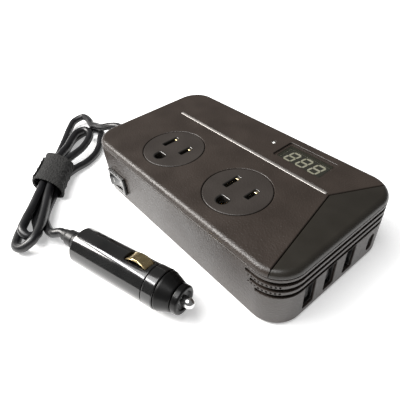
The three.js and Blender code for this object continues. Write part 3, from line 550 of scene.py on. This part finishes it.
# ---- base shell ----
def cut_grooves(bm, opening):
    """Three grooves round the USB end, with four narrow vent holes in each end of their floors."""
    first_hole, hole_pitch, hole_width = 1.6, 2, 1
    for z, start in zip(GROOVE_Z, GROOVE_STARTS):
        near_end, far_end = on_side(start), AROUND - start
        holes = []
        for i in range(4):
            reach = first_hole + hole_pitch * i
            holes += [rounded_rect(hole_width, GROOVE_WIDTH - 0.4, 0.3, 2, middle, z)
                      for middle in (near_end + reach, far_end - reach)]
        for hole in holes:
            recess(bm, hole, lambda s, h, depth: wall_at(s, h, GROOVE_DEPTH + depth), [(0, 0), (0, 1.2)])
        opening(stadium(near_end, far_end, z, GROOVE_WIDTH), rolled_edge(0.25, GROOVE_DEPTH), floor=True,
                floor_holes=holes, rulers=[((s, z - GROOVE_WIDTH), (s, z + GROOVE_WIDTH)) for s in BENDS])


def cut_dots(opening):
    """Rows of shallow square dots between the ends of the grooves."""
    first_dot, dot_pitch, dot_size = 54.4, 1.7, 0.85
    for above, below in zip(GROOVE_Z, GROOVE_Z[1:]):
        for i in range(9):
            x = first_dot + dot_pitch * i
            for middle in (on_side(x), AROUND - x):
                dot = rounded_rect(dot_size, dot_size, 0.2, 2, middle, (above + below) / 2)
                opening(dot, rolled_edge(0.1, 0.7), floor=True)


def cut_openings(opening):
    """Holes through the wall, for the sockets, the switch, the cord's gland and the fan's air."""
    through = rolled_edge(0.3, WALL)
    for y in USB_A_Y:
        width, height = (side + 2 * (USB_A_SHEET + SOCKET_ROOM) for side in USB_A_OPENING)
        opening(rounded_rect(width, height, 0.7, 3, on_usb_end(y), USB_A_Z), through)
    width, height = (side + 2 * (USB_C_SHEET + SOCKET_ROOM) for side in USB_C_OPENING)
    opening(rounded_rect(width, height, width / 2 - 0.01, 6, on_usb_end(USB_C_Y), USB_C_Z), through)
    opening(rounded_rect(*SWITCH_HOLE, 0.5, 2, on_side(SWITCH_X), SWITCH_Z), through)
    opening(circle(CORD_END_AT - GLAND_Y, GLAND_Z, GLAND_HOLE, 32), through)
    for i in range(GRILLE_SLOTS):
        y = FAN_Y + (i - (GRILLE_SLOTS - 1) / 2) * GRILLE_PITCH
        opening(rounded_rect(GRILLE_SLOT, GRILLE_HEIGHT, 0.9, 4, CORD_END_AT - y, FAN_Z), through)


def underside(bm, outline):
    """The flat bottom, with shallow recesses for the rubber strips and holes for the screws."""
    def bottom_at(x, y, depth=0.0):
        return (x, y, CASE_BOTTOM + depth)

    length, width = (side + 2 * GAP for side in FOOT_SIZE)
    holes = []
    for x in (-FOOT_X, FOOT_X):
        strip = rounded_rect(length, width, length / 2 - 0.01, 8, x, 0)
        holes.append(recess(bm, strip, bottom_at, rolled_edge(0.25, 0.7), floor=True))
    for x in (-SCREW_X, SCREW_X):
        for y in (-SCREW_Y, SCREW_Y):
            holes.append(recess(bm, circle(x, y, SCREW_HOLE, 32), bottom_at, rolled_edge(0.3, 3)))
    fill_with_holes(bm, outline, holes, bottom_at)


def base_shell():
    bm = bmesh.new()
    open_loops = []

    def opening(loop, profile, **kinds):
        open_loops.append(recess(bm, split_loop(loop, 0, BENDS), wall_at, profile, **kinds))

    cut_grooves(bm, opening)
    cut_dots(opening)
    cut_openings(opening)
    foot_line = [(s, WALL_FOOT) for s in [0, *BENDS, AROUND]]
    rim_line = [(s, WALL_TOP - RIM_ROUND) for s in [AROUND, *BENDS[::-1], 0]]
    rulers = [((s, WALL_FOOT), (s, WALL_TOP - RIM_ROUND)) for s in BENDS]
    fill_with_holes(bm, foot_line + rim_line, open_loops, wall_at, 0, rulers)
    rim = [(WALL_TOP - RIM_ROUND * (1 - sin(a)), RIM_ROUND * (1 - cos(a)))
           for a in (0, 0.4, 0.8, 1.2, pi / 2)]
    inner_side = [(WALL_TOP, WALL), (20, WALL)]
    loft(bm, [wall_ring(z, inset) for z, inset in rim + inner_side])
    turns = [pi / 2 * i / 5 for i in range(6)]
    foot = [wall_ring(WALL_FOOT - FOOT_ROUND * sin(a), FOOT_ROUND * (1 - cos(a))) for a in turns]
    loft(bm, foot)
    underside(bm, [(x, y) for x, y, _ in foot[-1]])
    finish_mesh("base_shell", bm, case_textured)


# ---- cover and end panel ----
SEAM_EDGE = 0.6  # rounding along the seam


def seam_apex(shift):
    """The seam's corner, where both sides shifted square to themselves meet."""
    near, far = ((Vector(end) - Vector(APEX)).normalized() for end in (NEAR, FAR))
    n1, n2 = Vector((-near.y, near.x)), Vector((far.y, -far.x))
    bisector = (n1 + n2) / (1 + n1.dot(n2))
    return Vector(APEX) + bisector * shift


def seam_point(end, shift, inset):
    """Where a side of the seam, shifted along the case, meets the outline pulled in by inset, and the middle
    of that corner."""
    sign = -1 if end is NEAR else 1
    start = seam_apex(shift)
    direction = (Vector(end) - Vector(APEX)).normalized()
    centre, radius = Vector((STRAIGHT_X, sign * STRAIGHT_Y)), CORNER - inset
    offset = start - centre
    toward = offset.dot(direction)
    along = -toward + sqrt(toward ** 2 - offset.length_squared + radius ** 2)
    return start + direction * along, centre


def angle_of(point, centre):
    return degrees(atan2(point.y - centre.y, point.x - centre.x))


def cover_outline(inset, shift):
    """The cover's outline: the case pulled in by inset, up to the seam moved back by shift."""
    radius = CORNER - inset
    far, far_centre = seam_point(FAR, -shift, inset)
    near, near_centre = seam_point(NEAR, -shift, inset)
    out = arc(*far_centre, radius, angle_of(far, far_centre), 90, 6)
    out += arc(-STRAIGHT_X, STRAIGHT_Y, radius, 90, 180, CORNER_STEPS)
    out += arc(-STRAIGHT_X, -STRAIGHT_Y, radius, 180, 270, CORNER_STEPS)
    out += arc(*near_centre, radius, -90, angle_of(near, near_centre), 6)
    return out + [tuple(seam_apex(-shift))]


def panel_outline(inset, shift):
    """The rest of the case's outline, from the seam moved forward by shift to the USB end."""
    radius = CORNER - inset
    near, near_centre = seam_point(NEAR, shift, inset)
    far, far_centre = seam_point(FAR, shift, inset)
    out = arc(*near_centre, radius, angle_of(near, near_centre), 0, 8)
    out += arc(*far_centre, radius, 0, angle_of(far, far_centre), 8)
    return out + [tuple(seam_apex(shift))]


def top_rings(outline):
    """Rings of the rounded top edge: up from the parting line, over the fillet and round the seam's edge."""
    steps = [(0.5, 0, 0), (0.3, 0, 0), (0.06, 0, 0.12), (0, 0, 0.4)]
    for angle in (10, 20, 30, 38, 46, 53, 60, 66, 72, 77, 82, 86, 90):
        a = radians(angle)
        rise = max(0, FILLET * sin(a) - FILLET + SEAM_EDGE)
        shift = SEAM_EDGE - sqrt(max(0, SEAM_EDGE ** 2 - rise ** 2))
        steps.append((FILLET * (1 - cos(a)), shift, FILLET * sin(a)))
    return [[(x, y, LID_BOTTOM + z) for x, y in outline(inset, shift + GAP / 2)] for inset, shift, z in steps]


def top_at(x, y, depth=0.0):
    return (x, y, CASE_TOP - depth)


def top_openings(bm):
    """Recesses for the outlets, the trim strip, the display and the status light. Returns their loops."""
    holes = [recess(bm, circle(x, OUTLET_Y, OUTLET_RADIUS + GAP, 96), top_at, rolled_edge(0.45, 3))
             for x in OUTLET_X]
    strip = stadium(*STRIP_X, STRIP_Y, STRIP_WIDTH + 0.5, 8)
    holes.append(recess(bm, strip, top_at, rolled_edge(0.15, 1), floor=True))
    length, width = DISPLAY_SIZE
    border = rounded_rect(length + 2 * DISPLAY_MARGIN, width + 2 * DISPLAY_MARGIN, 1.2, 6, *DISPLAY_AT)
    window = rounded_rect(length, width, 0.8, 4, *DISPLAY_AT)
    holes.append(recess(bm, border, top_at, rolled_edge(0.35, DISPLAY_RECESS), floor=True,
                        floor_holes=[window]))
    recess(bm, window, top_at, [(0, DISPLAY_RECESS), (0, DISPLAY_RECESS + 5)])
    holes.append(recess(bm, circle(*LED_AT, LED_RADIUS + GAP, 32), top_at, rolled_edge(0.25, 2)))
    return holes


def top_cover():
    bm = bmesh.new()
    rings = top_rings(cover_outline)
    loft(bm, rings)
    fill_with_holes(bm, [(x, y) for x, y, _ in rings[-1]], top_openings(bm), top_at)
    skirt_inset, skirt_z = 1.4, (27, 31)
    loft(bm, [wall_ring(z, skirt_inset) for z in skirt_z])
    ledge_half, ledge_depth = 1.5, 2.2
    for end in (NEAR, FAR):
        sides = [[seam_apex(shift), seam_point(end, shift, 1)[0]] for shift in (-ledge_half, ledge_half)]
        loft(bm, [[top_at(*p, ledge_depth) for p in side] for side in sides], closed=False)
    finish_mesh("top_cover", bm, case_textured)


def end_panel():
    bm = bmesh.new()
    rings = top_rings(panel_outline)
    loft(bm, rings)
    fill_with_holes(bm, [(x, y) for x, y, _ in rings[-1]], [], top_at)
    finish_mesh("end_panel", bm, case_smooth)


def trim_strip():
    """The strip, which stands 0.1 mm proud with rounded edges."""
    bm = bmesh.new()
    x0, x1 = STRIP_X
    loop = stadium(x0 + GAP, x1 - GAP, STRIP_Y, STRIP_WIDTH, 8)
    edge, top = -0.2, -0.1
    inset_loft(bm, loop, top_at, [(0, 0.8), (0, 0.05), (-0.05, -0.03), (edge, top)])
    fill_with_holes(bm, offset_loop(loop, edge), [], lambda x, y: top_at(x, y, top))
    finish_mesh("trim_strip", bm, silver, slot="silver_trim")


base_shell()
top_cover()
end_panel()
trim_strip()


# ---- outlets ----
def ground_hole(x, y):
    """A round hole with a flat top."""
    corner, top = 0.8, 2.1
    side = GROUND_RADIUS - corner
    return (arc(x, y, GROUND_RADIUS, 180, 360, 16) + arc(x + side, y + top - corner, corner, 0, 90, 4)
            + arc(x - side, y + top - corner, corner, 90, 180, 4))


def outlet_face(number, x):
    bm = bmesh.new()
    side = circle(x, OUTLET_Y, OUTLET_RADIUS, 96)
    edge = 0.5
    turns = (0, 0.35, 0.7, 1.05, 1.3, pi / 2)
    rim = [(-edge * (1 - cos(a)), edge * (1 - sin(a))) for a in turns]
    inset_loft(bm, side, top_at, [(0, 3)] + rim)
    holes = []
    for offset, length in ((-BLADE_SPACING / 2, NEUTRAL), (BLADE_SPACING / 2, HOT)):
        slot_loop = rounded_rect(BLADE_WIDTH, length, 0.25, 3, x + offset, BLADE_Y)
        holes.append(recess(bm, slot_loop, top_at, rolled_edge(0.6, 3.5, 6), material=1))
    ground = ground_hole(x, BLADE_Y - GROUND_DROP)
    holes.append(recess(bm, ground, top_at, rolled_edge(0.8, 3.5, 6), material=1))
    fill_with_holes(bm, offset_loop(side, -edge), holes, top_at)
    finish_mesh(f"outlet_face_{number}", bm, [face_plastic, slot_edge], slot="case_smooth")


def blade_contact(name, x, length):
    """A folded clip whose back end turns up into the slot."""
    bm = bmesh.new()
    y0, y1 = about(BLADE_Y, length / 2)
    for side in (-1, 1):
        add_box(bm, about(x + side * 1.15, 0.25), (y0, y1), (18, 28.3), 0.15)
    add_box(bm, about(x, 1.4), (y0, y1), (17.8, 18.4), 0.15)
    add_box(bm, about(x, 1.1), (y1 - 1.7, y1 - 0.05), (18, CASE_TOP - 0.4), 0.5, 1)
    finish_mesh(name, bm, [brass, bright_steel])


for n, outlet_x in enumerate(OUTLET_X, 1):
    outlet_face(n, outlet_x)
    blade_contact(f"neutral_contact_{n}", outlet_x - BLADE_SPACING / 2, NEUTRAL)
    blade_contact(f"hot_contact_{n}", outlet_x + BLADE_SPACING / 2, HOT)


# ---- display and status light ----
# The two ends of each bar of a digit, across it from 0 to 1 and up it from -1 to 1.
DIGIT_BARS = [((0, 1), (1, 1)), ((1, 1), (1, 0)), ((1, 0), (1, -1)), ((0, -1), (1, -1)),
              ((0, 0), (0, -1)), ((0, 1), (0, 0)), ((0, 0), (1, 0))]


def display_window():
    bm = bmesh.new()
    length, width = DISPLAY_SIZE
    loop = rounded_rect(length - 0.2, width - 0.2, 0.7, 4, *DISPLAY_AT)
    edge = -0.2
    inset_loft(bm, loop, top_at, [(0, 2.2), (0, 1.1), (-0.06, 0.94), (edge, DISPLAY_RECESS)])
    fill_with_holes(bm, offset_loop(loop, edge), [], lambda x, y: top_at(x, y, DISPLAY_RECESS))
    finish_mesh("display_window", bm, window_tint)


def digit_bar(ends, height, wide, bar):
    """The six-sided outline of one bar, with pointed ends."""
    start, end = (Vector(((p[0] - 0.5) * wide, p[1] * height / 2)) for p in ends)
    along = (end - start).normalized()
    across = Vector((-along.y, along.x)) * bar / 2
    gap = along * (0.12 + bar / 2)
    start, end = start + gap, end - gap
    tip = along * bar / 2 * 0.9
    return [start - tip, start - across, end - across, end + tip, end + across, start + across]


def display_module():
    """A dark block with the lit bars of three slanting digits on its face."""
    bm = bmesh.new()
    x, y = DISPLAY_AT
    length, width = DISPLAY_SIZE
    face = CASE_TOP - DISPLAY_RECESS - 1.3 - GAP
    add_box(bm, about(x, length / 2 - 0.4), about(y, width / 2 - 0.4), (24.5, face), 0.2, 1)
    height, wide, bar, lean, pitch = 7.4, 4.3, 0.9, 0.16, 7.4
    for middle in (x - pitch, x, x + pitch):
        for ends in DIGIT_BARS:
            outline = [(middle + p.x + lean * p.y, y + p.y) for p in digit_bar(ends, height, wide, bar)]
            made = loft(bm, [[(px, py, z) for px, py in outline] for z in (face - 0.1, face + 0.25)])
            bm.faces.new(made[-1])
    finish_mesh("display_module", bm, [digits, dark_plastic])


def status_led():
    """A small light with a flange and a domed end."""
    height, dome = 4.9, LED_RADIUS * 0.85
    outline = [(0, 1.7), (1, 1.7), (1, LED_RADIUS), (height, LED_RADIUS)]
    outline += [(height + dome * sin(a), LED_RADIUS * cos(a)) for a in (0.3, 0.6, 0.9, 1.2, 1.4)]
    place = placed((*LED_AT, 27.4), -pi / 2, "Y")
    finish_mesh("status_light", turned(outline, 32), led_white, slot="pale_plastic", replaces=("status_led",),
                place=place)


display_window()
display_module()
status_led()


# ---- USB sockets ----
def end_point(y, z, inward=0.0):
    return (SOCKET_FRONT - inward, y, z)


def socket(name, y, z, opening, sheet, length, corner):
    """A sheet metal shell, open to the front."""
    bm = bmesh.new()
    inner = rounded_rect(*opening, corner, 5, y, z)
    inset_loft(bm, inner, end_point,
               [(sheet, length), (sheet, 0.12), (sheet - 0.1, 0), (0.08, 0), (0, 0.15), (0, length - 1)])
    fill_with_holes(bm, inner, [], lambda a, b: end_point(a, b, length - 1))
    finish_mesh(name, bm, socket_steel, slot="steel")


def usb_tongue(number, y):
    """The tongue along one side of a USB-A socket, with four contacts on it."""
    bm = bmesh.new()
    side = y + USB_A_OPENING[0] / 2 - GAP
    add_box(bm, (54, 59), (y - 2.2, side), about(USB_A_Z, 5.9), 0.2)
    add_box(bm, (54, SOCKET_FRONT - 1.2), (side - 2, side), about(USB_A_Z, 5.5), 0.25)
    for k in range(4):
        z_range = about(USB_A_Z + (k - 1.5) * 2.3, 0.5)
        add_box(bm, (58, SOCKET_FRONT - 2), (side - 2.12, side - 1.9), z_range, 0.05, 1)
    finish_mesh(f"usb_tongue_{number}", bm, [dark_plastic, brass])


for n, usb_y in enumerate(USB_A_Y, 1):
    socket(f"usb_socket_{n}", usb_y, USB_A_Z, USB_A_OPENING, USB_A_SHEET, 17, 0.5)
    usb_tongue(n, usb_y)
socket("usb_c_socket", USB_C_Y, USB_C_Z, USB_C_OPENING, USB_C_SHEET, 9, USB_C_OPENING[0] / 2 - 0.01)


# ---- switch ----
BEZEL_PROUD = 1.4
rocker_place = placed((SWITCH_X, -HALF_WIDTH + 0.7, SWITCH_Z), ROCKER_TILT, "Z")


def switch_housing():
    """The bezel round the rocker, the body behind the wall and its three terminals."""
    bm = bmesh.new()
    face = -HALF_WIDTH - GAP

    def out_at(x, z, depth=0.0):
        return (x, face - BEZEL_PROUD + depth, z)

    outer = rounded_rect(*BEZEL, 1.1, 5, SWITCH_X, SWITCH_Z)
    inner = rounded_rect(12.4, 7.6, 0.5, 3, SWITCH_X, SWITCH_Z)
    edge = -0.42
    inset_loft(bm, outer, out_at, [(0, BEZEL_PROUD), (0, 0.45), (-0.06, 0.22), (-0.2, 0.06), (edge, 0)])
    hole = recess(bm, inner, out_at, rolled_edge(0.35, 7.4), floor=True)
    fill_with_holes(bm, offset_loop(outer, edge), [hole], out_at)
    add_box(bm, about(SWITCH_X, 7), (face + 5.9, face + 12), about(SWITCH_Z, 4.6), 0.3)
    for dx in (-4.6, 0, 4.6):
        add_box(bm, about(SWITCH_X + dx, 0.4), (face + 11, face + 16), about(SWITCH_Z, 2), 0.1)
    finish_mesh("switch_housing", bm, gloss_black)


def rocker_face(x):
    """How far out the rocker's dished face is."""
    return -2.6 + tan(ROCKER_TILT) * ROCKER_HALF * (1 - (x / ROCKER_HALF) ** 2)


def rocker():
    bm = bmesh.new()
    front = [-ROCKER_HALF + ROCKER_HALF * i / 9 for i in range(19)]
    outline = [(x, rocker_face(x)) for x in front] + [(5.1, 0.4), (1.6, 2.2), (-1.6, 2.2), (-5.1, 0.4)]
    half_height, edge = 3.5, 0.35
    steps = [(edge, half_height), (0.1, half_height - 0.1), (0, half_height - edge)]
    rings = [(inset, -z) for inset, z in steps] + steps[::-1]
    capped_loft(bm, [[(x, y, z) for x, y in offset_loop(outline, -inset)] for inset, z in rings])
    finish_mesh("switch_rocker", bm, gloss_black, "rocker", place=rocker_place, weighted=False)


def rocker_marks():
    """A line and a ring on the two halves of the rocker's face."""
    bm = bmesh.new()

    def on_face(x, z, depth=0.0):
        return (x, rocker_face(x) - 0.06 + depth, z)

    reach = 3.1
    bar = rounded_rect(0.5, 3, 0.2, 3, -reach, 0)
    outer, inner = circle(reach, 0, 1.45, 32), circle(reach, 0, 0.98, 32)
    fill_with_holes(bm, bar, [], on_face)
    fill_with_holes(bm, outer, [inner], on_face)
    for loop in (bar, outer, inner):
        inset_loft(bm, loop, on_face, [(0, 0), (0, 0.2)])
    finish_mesh("rocker_marks", bm, mark_paint, "rocker", slot="pale_plastic", replaces=(),
                place=rocker_place)


switch_housing()
rocker()
rocker_marks()


# ---- cord, its gland and its strap ----
def swept_tube(line, radius, sides):
    """A round tube along a line of points, closed at both ends."""
    bm = bmesh.new()
    rings, side = [], Vector((0, 0, 1))
    for before, place, after in zip(line[:1] + line, line, line[1:] + line[-1:]):
        ahead = (after - before).normalized()
        side = (side - ahead * side.dot(ahead)).normalized()
        other = ahead.cross(side)
        rings.append([place + side * y + other * z for _, y, z in hoop(0, radius, sides)])
    capped_loft(bm, rings)
    return bm


def cord_gland():
    """The flanged sleeve where the cord leaves, with flexing cuts that show as ribs."""
    outline = [(0, 0.6), (0, 5.8), (1.6, 5.8), (2.2, 4.3)]
    for i in range(6):
        x = 3 + i * 2.25
        r = 4.2 - i * 0.2
        outline += [(x, r), (x + 1.35, r - 0.1), (x + 1.45, r - 0.75), (x + 2.05, r - 0.8)]
    outline += [(16.3, 3.1), (GLAND_LENGTH, 2.8), (GLAND_LENGTH, 2.45)]
    place = placed((-HALF_LENGTH - GAP, GLAND_Y, GLAND_Z), pi, "Z")
    return finish_mesh("cord_gland", turned(round_off(outline, 0.25, 3), 48), rubber_black, place=place)


STRAP_MIDDLE_ACROSS, STRAP_MIDDLE_Z = -3.1, 6.4
STRAP_REACH_ACROSS, STRAP_REACH_Z = 9.3, 5.45
STRAP_HALF, STRAP_START, STRAP_END = 12.8, -0.02, 1.36  # half its width, and its ends in turns


def strap_point(turns, along):
    """A point on the strap: turns wound round the bundle from its underside, and a place across the strap."""
    a = 2 * pi * turns - pi / 2
    squareness = 2 / 2.7
    c, s = cos(a), sin(a)
    lap = 1.15 * min(1, max(0, (turns - 0.93) / 0.14))
    crease = 0.22 * sin(along * 0.9 + 9 * turns) * sin(5 * a) + 0.15 * sin(along * 1.7 - 7 * a)
    flare = 0.9 * (abs(along) / 13) ** 3
    reach_across = STRAP_REACH_ACROSS + lap + crease + flare
    reach_z = STRAP_REACH_Z + lap * 0.8 + crease * 0.5 + flare * 0.6
    across = STRAP_MIDDLE_ACROSS - reach_across * copysign(abs(c) ** squareness, c)
    z = STRAP_MIDDLE_Z + reach_z * copysign(abs(s) ** squareness, s)
    if s > 0:
        z += 0.5 * exp(-((across + 4) / 4) ** 2)  # it rides up over the topmost run
    return hank_point(along + 0.5 * (across - STRAP_MIDDLE_ACROSS), across, max(z, 0.5))


def strap():
    """A thick woven band with a rounded tail."""
    bm = bmesh.new()
    rows, columns, round_length, turn_length = 150, 30, 9, 58
    rings = []
    for i in range(rows + 1):
        turns = STRAP_START + (STRAP_END - STRAP_START) * i / rows
        left = (STRAP_END - turns) * turn_length
        half = STRAP_HALF * sqrt(1 - max(0, 1 - left / round_length) ** 2)
        half = max(half, 0.4)
        rings.append([strap_point(turns, half * (2 * j / columns - 1)) for j in range(columns + 1)])
    loft(bm, rings, closed=False)
    piece = finish_mesh("cord_strap", bm, strap_fabric, replaces=("cord_tie",), weighted=False, sharp=80)
    thick = piece.modifiers.new("thickness", "SOLIDIFY")
    thick.thickness = 0.8 * MM
    thick.offset = 0
    bevel = piece.modifiers.new("soft edge", "BEVEL")
    bevel.width = 0.25 * MM
    bevel.segments = 2
    bevel.angle_limit = radians(60)
    return piece


cord = finish_mesh("cord", swept_tube(cord_line, CORD / 2, 24), cord_jacket,
                   replaces=("cord_lead", "cord_hank", "cord_plug_lead"), weighted=False, sharp=60)
gland = cord_gland()
tie = strap()


# ---- plug, built along +X from the back of its body ----
plug_place = placed((PLUG_X, PLUG_Y, PLUG_Z), PLUG_ANGLE, "Z")


def plug_turned(name, outline, material, rounding=0.3, sides=72, **kinds):
    """A piece of the plug turned about its axis."""
    return finish_mesh(name, turned(round_off(outline, rounding), sides), material, place=plug_place, **kinds)


def plug_body():
    """The body's skin with two pockets for the side contacts."""
    bm = bmesh.new()
    r, sides, start, end = PLUG_RADIUS, 72, 6, 47
    sheet_end = end - 0.4
    around = [2 * pi * r * i / sides for i in range(sides + 1)]
    creases = around[1:-1]
    facing = radians(CONTACT_ANGLES[0])

    def skin_at(x, s, depth=0.0):
        """The pockets are cut straight in along the contacts' travel, so their walls stay parallel."""
        a = s / r
        inward = -copysign(depth, cos(a - facing))
        return (x, r * cos(a) + inward * cos(facing), r * sin(a) + inward * sin(facing))

    holes = []
    for angle in CONTACT_ANGLES:
        pocket = rounded_rect(12.8, 7.2, 1.2, 4, 39, r * radians(angle))
        holes.append(recess(bm, split_loop(pocket, 1, creases), skin_at, rolled_edge(0.35, 3.2), floor=True,
                            rulers=[((30, s), (48, s)) for s in creases]))
    outline = [(start, s) for s in around[::-1]] + [(sheet_end, s) for s in around]
    fill_with_holes(bm, outline, holes, skin_at, 0, [((start, s), (sheet_end, s)) for s in creases])
    back = round_off([(3.2, 4), (3.2, 7.9), (3.5, 8.3), (3.9, 8.3), (4, r), (start, r)], 0.4)
    front = [(sheet_end, r), (end - 0.15, r - 0.12), (end, r - 0.4), (end, 4.2)]
    for profile in (back, front):
        loft(bm, [hoop(x, radius, sides) for x, radius in profile])
    return finish_mesh("plug_body", bm, gloss_black, place=plug_place)


def plug_contact(number, angle):
    """A bowed leaf with rolled sides."""
    bm = bmesh.new()
    start, length, root, bow, rows = 33.1, 11.8, 7.95, 2.35, 28
    half, lip = 3.1, -0.5
    section = [(-half, lip), (-half, -0.2), (-half + 0.35, 0.1), (-half + 0.9, 0.0), (-1, -0.12), (1, -0.12),
               (half - 0.9, 0.0), (half - 0.35, 0.1), (half, -0.2), (half, lip), (half - 0.5, lip),
               (-half + 0.5, lip)]
    rings = []
    for i in range(rows + 1):
        t = i / rows
        height = root + bow * (4 * t * (1 - t)) ** 0.85
        rings.append([(start + length * t, y, height + z) for y, z in section])
    capped_loft(bm, rings)
    place = plug_place @ Matrix.Rotation(radians(angle - 90), 4, "X")
    return finish_mesh(f"plug_contact_{number}", bm, brass, f"contact_{number}", place=place, sharp=50)


plug_pieces = [
    plug_turned("plug_strain_relief", [
        (-BOOT_LENGTH, 2.45), (-BOOT_LENGTH, 3), (-7.6, 3.25), (-6.2, 4.1), (-2, 4.3), (-1.8, 4.05),
        (-1.2, 4.05), (-1, 4.4), (2.4, 4.8), (2.9, 4.5), (2.9, 3)], rubber_black, 0.5, 48),
    plug_body(),
    *(plug_contact(n, angle) for n, angle in enumerate(CONTACT_ANGLES, 1)),
    plug_turned("plug_collar", [
        (47.3, 4.2), (47.3, 9), (47.6, 9.35), (52.6, 9.35), (53, 9.1), (53, 4.2)], gloss_black, 0.2),
    plug_turned("plug_nose", [
        (53.3, 4.2), (53.3, 8.8), (53.6, 9.05), (54.2, 9.05), (59.6, 6.95), (60, 6.6), (60, 4.2)],
        nose_black, slot="dark_plastic"),
    plug_turned("plug_retaining_ring", [
        (60.3, 2.8), (60.3, 6.3), (60.7, 6.6), (63, 6.6), (63.6, 6), (63.6, 4.6), (62.6, 4.2), (62.6, 2.8)],
        nose_black, 0.35, slot="dark_plastic"),
    plug_turned("plug_pin", [
        (56.8, 0.02), (56.8, 3.8), (59.6, 3.8), (59.8, 2.4), (66.0, 2.4), (67.4, 1.7), (68, 0.9), (68, 0.02)],
        bright_steel, body="pin", slot="steel"),
]


# ---- CAD pieces that keep their own shape ----
KEPT = {
    steel: ["case_screw_1", "case_screw_2", "case_screw_3", "case_screw_4", "heat_sink", "plug_spring"],
    rubber_black: ["rubber_foot_1", "rubber_foot_2"],
    pale_plastic: ["outlet_body_1", "outlet_body_2", "plug_fuse"],
    brass: ["ground_contact_1", "ground_contact_2"],
    dark_plastic: ["usb_c_tongue", "transistor_1", "transistor_2", "capacitor_1", "capacitor_2", "fan_frame",
                   "fan_rotor"],
    board_green: ["usb_board", "main_board"],
    ferrite: ["transformer_core"],
    copper: ["transformer_winding", "choke_coil"],
}
for kept_material, names in KEPT.items():
    for name in names:
        slots = nodes[name].data.materials
        slots.clear()
        slots.append(kept_material)


# ---- floor and light ----
def floor():
    bm = bmesh.new()
    bmesh.ops.create_grid(bm, x_segments=8, y_segments=8, size=3)
    mesh = bpy.data.meshes.new("floor")
    bm.to_mesh(mesh)
    bm.free()
    obj = bpy.data.objects.new("floor", mesh)
    obj.location.z = -0.0002
    scene.collection.objects.link(obj)
    material, tree, shader = new_material("floor", (0.93, 0.93, 0.93), 0.9)
    color = ramp(tree, noise(tree, 3), (0.92, 0.92, 0.92), (0.94, 0.94, 0.94))
    tree.links.new(color, shader.inputs["Base Color"])
    shader.inputs["Emission Color"].default_value = (1, 1, 1, 1)
    shader.inputs["Emission Strength"].default_value = 0.38
    mesh.materials.append(material)


def area_light(name, place, target, size, power, color=(1, 1, 1)):
    data = bpy.data.lights.new(name, "AREA")
    data.shape = "RECTANGLE"
    data.size, data.size_y = size
    data.energy = power
    data.color = color
    obj = bpy.data.objects.new(name, data)
    obj.location = place
    obj.rotation_euler = (Vector(target) - Vector(place)).to_track_quat("-Z", "Y").to_euler()
    scene.collection.objects.link(obj)


floor()
area_light("key", (-0.8, -0.6, 0.78), (0, -0.02, 0), (0.5, 0.4), 19, (1, 0.97, 0.93))
area_light("overhead", (-0.1, -0.3, 1.0), (0, -0.02, 0), (0.8, 0.6), 9)
area_light("streak", (-0.45, -0.58, 0.95), (0, -0.06, 0), (0.6, 0.1), 5.5)
world = scene.world or bpy.data.worlds.new("world")
scene.world = world
world.use_nodes = True
world.node_tree.nodes["Background"].inputs["Color"].default_value = (1, 1, 1, 1)
world.node_tree.nodes["Background"].inputs["Strength"].default_value = 0.16
scene.view_settings.view_transform = "Standard"

bpy.context.view_layer.update()
